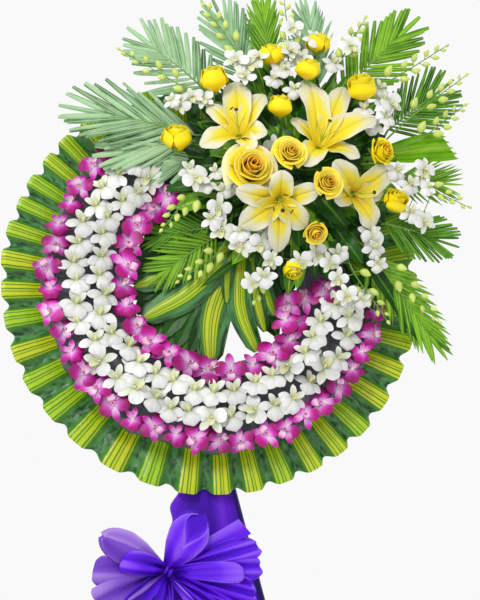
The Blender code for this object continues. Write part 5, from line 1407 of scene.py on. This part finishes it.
def flat_loop(tip, half, deep, pleats, tone, finish, rng):
    """A loop seen flat: its pleats run from the knot to its tip, and it comes back underneath."""
    s = np.linspace(-1.0, 1.0, 33)[None]
    turn = np.linspace(0.0, 2 * math.pi, 50)[:, None]
    along = (1.0 - np.cos(turn)) / 2
    pleated = pleats > 0.5
    flutes = np.cos(math.pi * pleats * s + rng.uniform(0, 3) + 0.5 * np.sin(2.0 * along + s))
    flutes = 0.85 * flutes + 0.15 * np.cos(math.pi * 2.3 * pleats * s + rng.uniform(0, 6))
    lift = deep * np.sin(turn) * (0.55 + 0.45 * along) + BOW_ARCH * wave(along)
    lift = lift + flutes * half * 0.19 * np.interp(along, (0.0, 0.3, 0.7, 1.0), (0.8, 1.0, 0.8, 0.6))
    lift = lift + 0.0012 * np.sin(6.0 * along + 9.0 * s + rng.uniform(0, 6))
    fan = rng.uniform(-0.08, 0.08)
    reach = along + (fan * s - 0.09 * s ** 4 + 0.012 * flutes * pleated) * along ** 2
    # The tone is painted light and shade: pleat ridges lighter and grooves darker, lighter towards the
    # loop's end, darker near the knot and lighter along both edges, with a little that differs at random
    tones = tone + (0.30 if pleated else 0.10) * flutes * lerp(1.1, 0.7, along)
    tones = tones + 0.25 * smooth(0.55, 1.0, along) - 0.55 * (1.0 - smooth(0.02, 0.40, along))
    tones = tones + 0.22 * hump(np.abs(s), 0.98, 0.04) + rng.uniform(-0.05, 0.05)
    across = half * np.interp(along, *FLAT_WIDTHS) * s
    return ribbon(np.linalg.norm(tip), reach, across, lift, tip, tones, finish)


def tail(tip, half, twist, pleats, tone, rng):
    """A tail from the knot with a square end, twisted on the way."""
    s, k = grid_lines(21, 36)
    angle = 2 * math.pi * twist * k ** 1.3
    width = half * np.interp(k, *TAIL_WIDTHS) * s
    flutes = np.cos(math.pi * pleats * s + rng.uniform(0, 3)) * lerp(1.0, 0.55, k)
    above = flutes * half * 0.16
    across = width * np.cos(angle) - above * np.sin(angle)
    lift = width * np.sin(angle) + above * np.cos(angle) + 0.012 * wave(k) + 0.003 * np.sin(7.0 * k)
    # The tone is painted light and shade: pleat ridges lighter and grooves darker, darker near the knot and
    # lighter towards the end
    tones = tone + 0.26 * flutes - 0.5 * (1.0 - smooth(0.02, 0.35, k)) + 0.12 * k
    return ribbon(np.linalg.norm(tip), k + 0.02 * s * k, across, lift, tip, tones, 0)


def knot():
    """The band of ribbon round the middle of the bow, pinched into ridges."""
    s = np.linspace(-1.0, 1.0, 21)[None]
    angle = np.linspace(0.0, 2 * math.pi, 25)[:-1, None]
    ridges = np.cos(3.5 * math.pi * s + 0.8 * np.sin(angle))
    radius = KNOT_RADIUS + 0.0022 * ridges - 0.0035 * s ** 2
    out = 0.95 * radius * np.sin(angle)
    grid = np.stack(np.broadcast_arrays(KNOT_HALF * s, radius * np.cos(angle), out), -1)
    grid = KNOT + grid @ spun(KNOT_SLOPE)
    # The tone is painted light and shade: lighter on the ridges and darker between them
    return slab(grid, RIBBON_THICK, np.clip(0.34 + 0.34 * ridges, 0.0, 1.0))


def bow():
    """The bow's loops, tails and knot."""
    rng = random.Random(SEED + 9)
    ribbons = [RIBBON, SHEER]
    loops = [round_loop(*loop, rng) for loop in ROUND_LOOPS] + [flat_loop(*loop, rng) for loop in FLAT_LOOPS]
    piece = build("bow_loops", loops, ribbons, "bow")
    piece = build("bow_tails", [tail(*line, rng) for line in TAILS], ribbons, "bow")
    piece = build("bow_knot", [knot()], ribbons, "bow")


# Floor, light and sky

FLOOR_RADIUS = 2.3
LIGHT_TARGET = (0.0, 0.0, 1.1)
# Each light: its name, place, size and power
LIGHTS = (("key_light", (-1.6, -2.6, 3.0), 0.9, 52.0), ("back_light", (1.5, 2.6, 2.6), 1.4, 40.0))
SKY = 0.947


def floor():
    bpy.ops.mesh.primitive_circle_add(vertices=96, radius=FLOOR_RADIUS, fill_type="NGON",
                                      location=(0.0, 0.0, -0.0005))
    disk = bpy.context.object
    disk.name = "floor_disk"
    disk.data.materials.append(floor_finish())


def light(name, place, size, power):
    data = bpy.data.lights.new(name, "AREA")
    data.size = size
    data.energy = power
    lamp = bpy.data.objects.new(name, data)
    lamp.location = place
    lamp.rotation_euler = aimed(place, LIGHT_TARGET)
    bpy.context.scene.collection.objects.link(lamp)


def sky():
    """A pale even sky, and colours shown as they are."""
    world = bpy.data.worlds.new("sky")
    world.use_nodes = True
    background = world.node_tree.nodes["Background"]
    background.inputs["Color"].default_value = light_of(SKY)
    background.inputs["Strength"].default_value = 1.0
    bpy.context.scene.world = world
    bpy.context.scene.view_settings.view_transform = "Standard"


def finish_frame():
    """Give every CAD node that is kept its foam or bamboo."""
    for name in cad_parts:
        obj = bpy.data.objects.get(name)
        if obj is None or obj.hide_render:
            continue
        for place in obj.material_slots:
            place.material = FOAM if "foam" in name else BAMBOO


collar()
garland()
roses()
lilies()
palms()
opening_leaves()
sprays()
drape()
bow()
finish_frame()
floor()
for lamp_line in LIGHTS:
    light(*lamp_line)
sky()
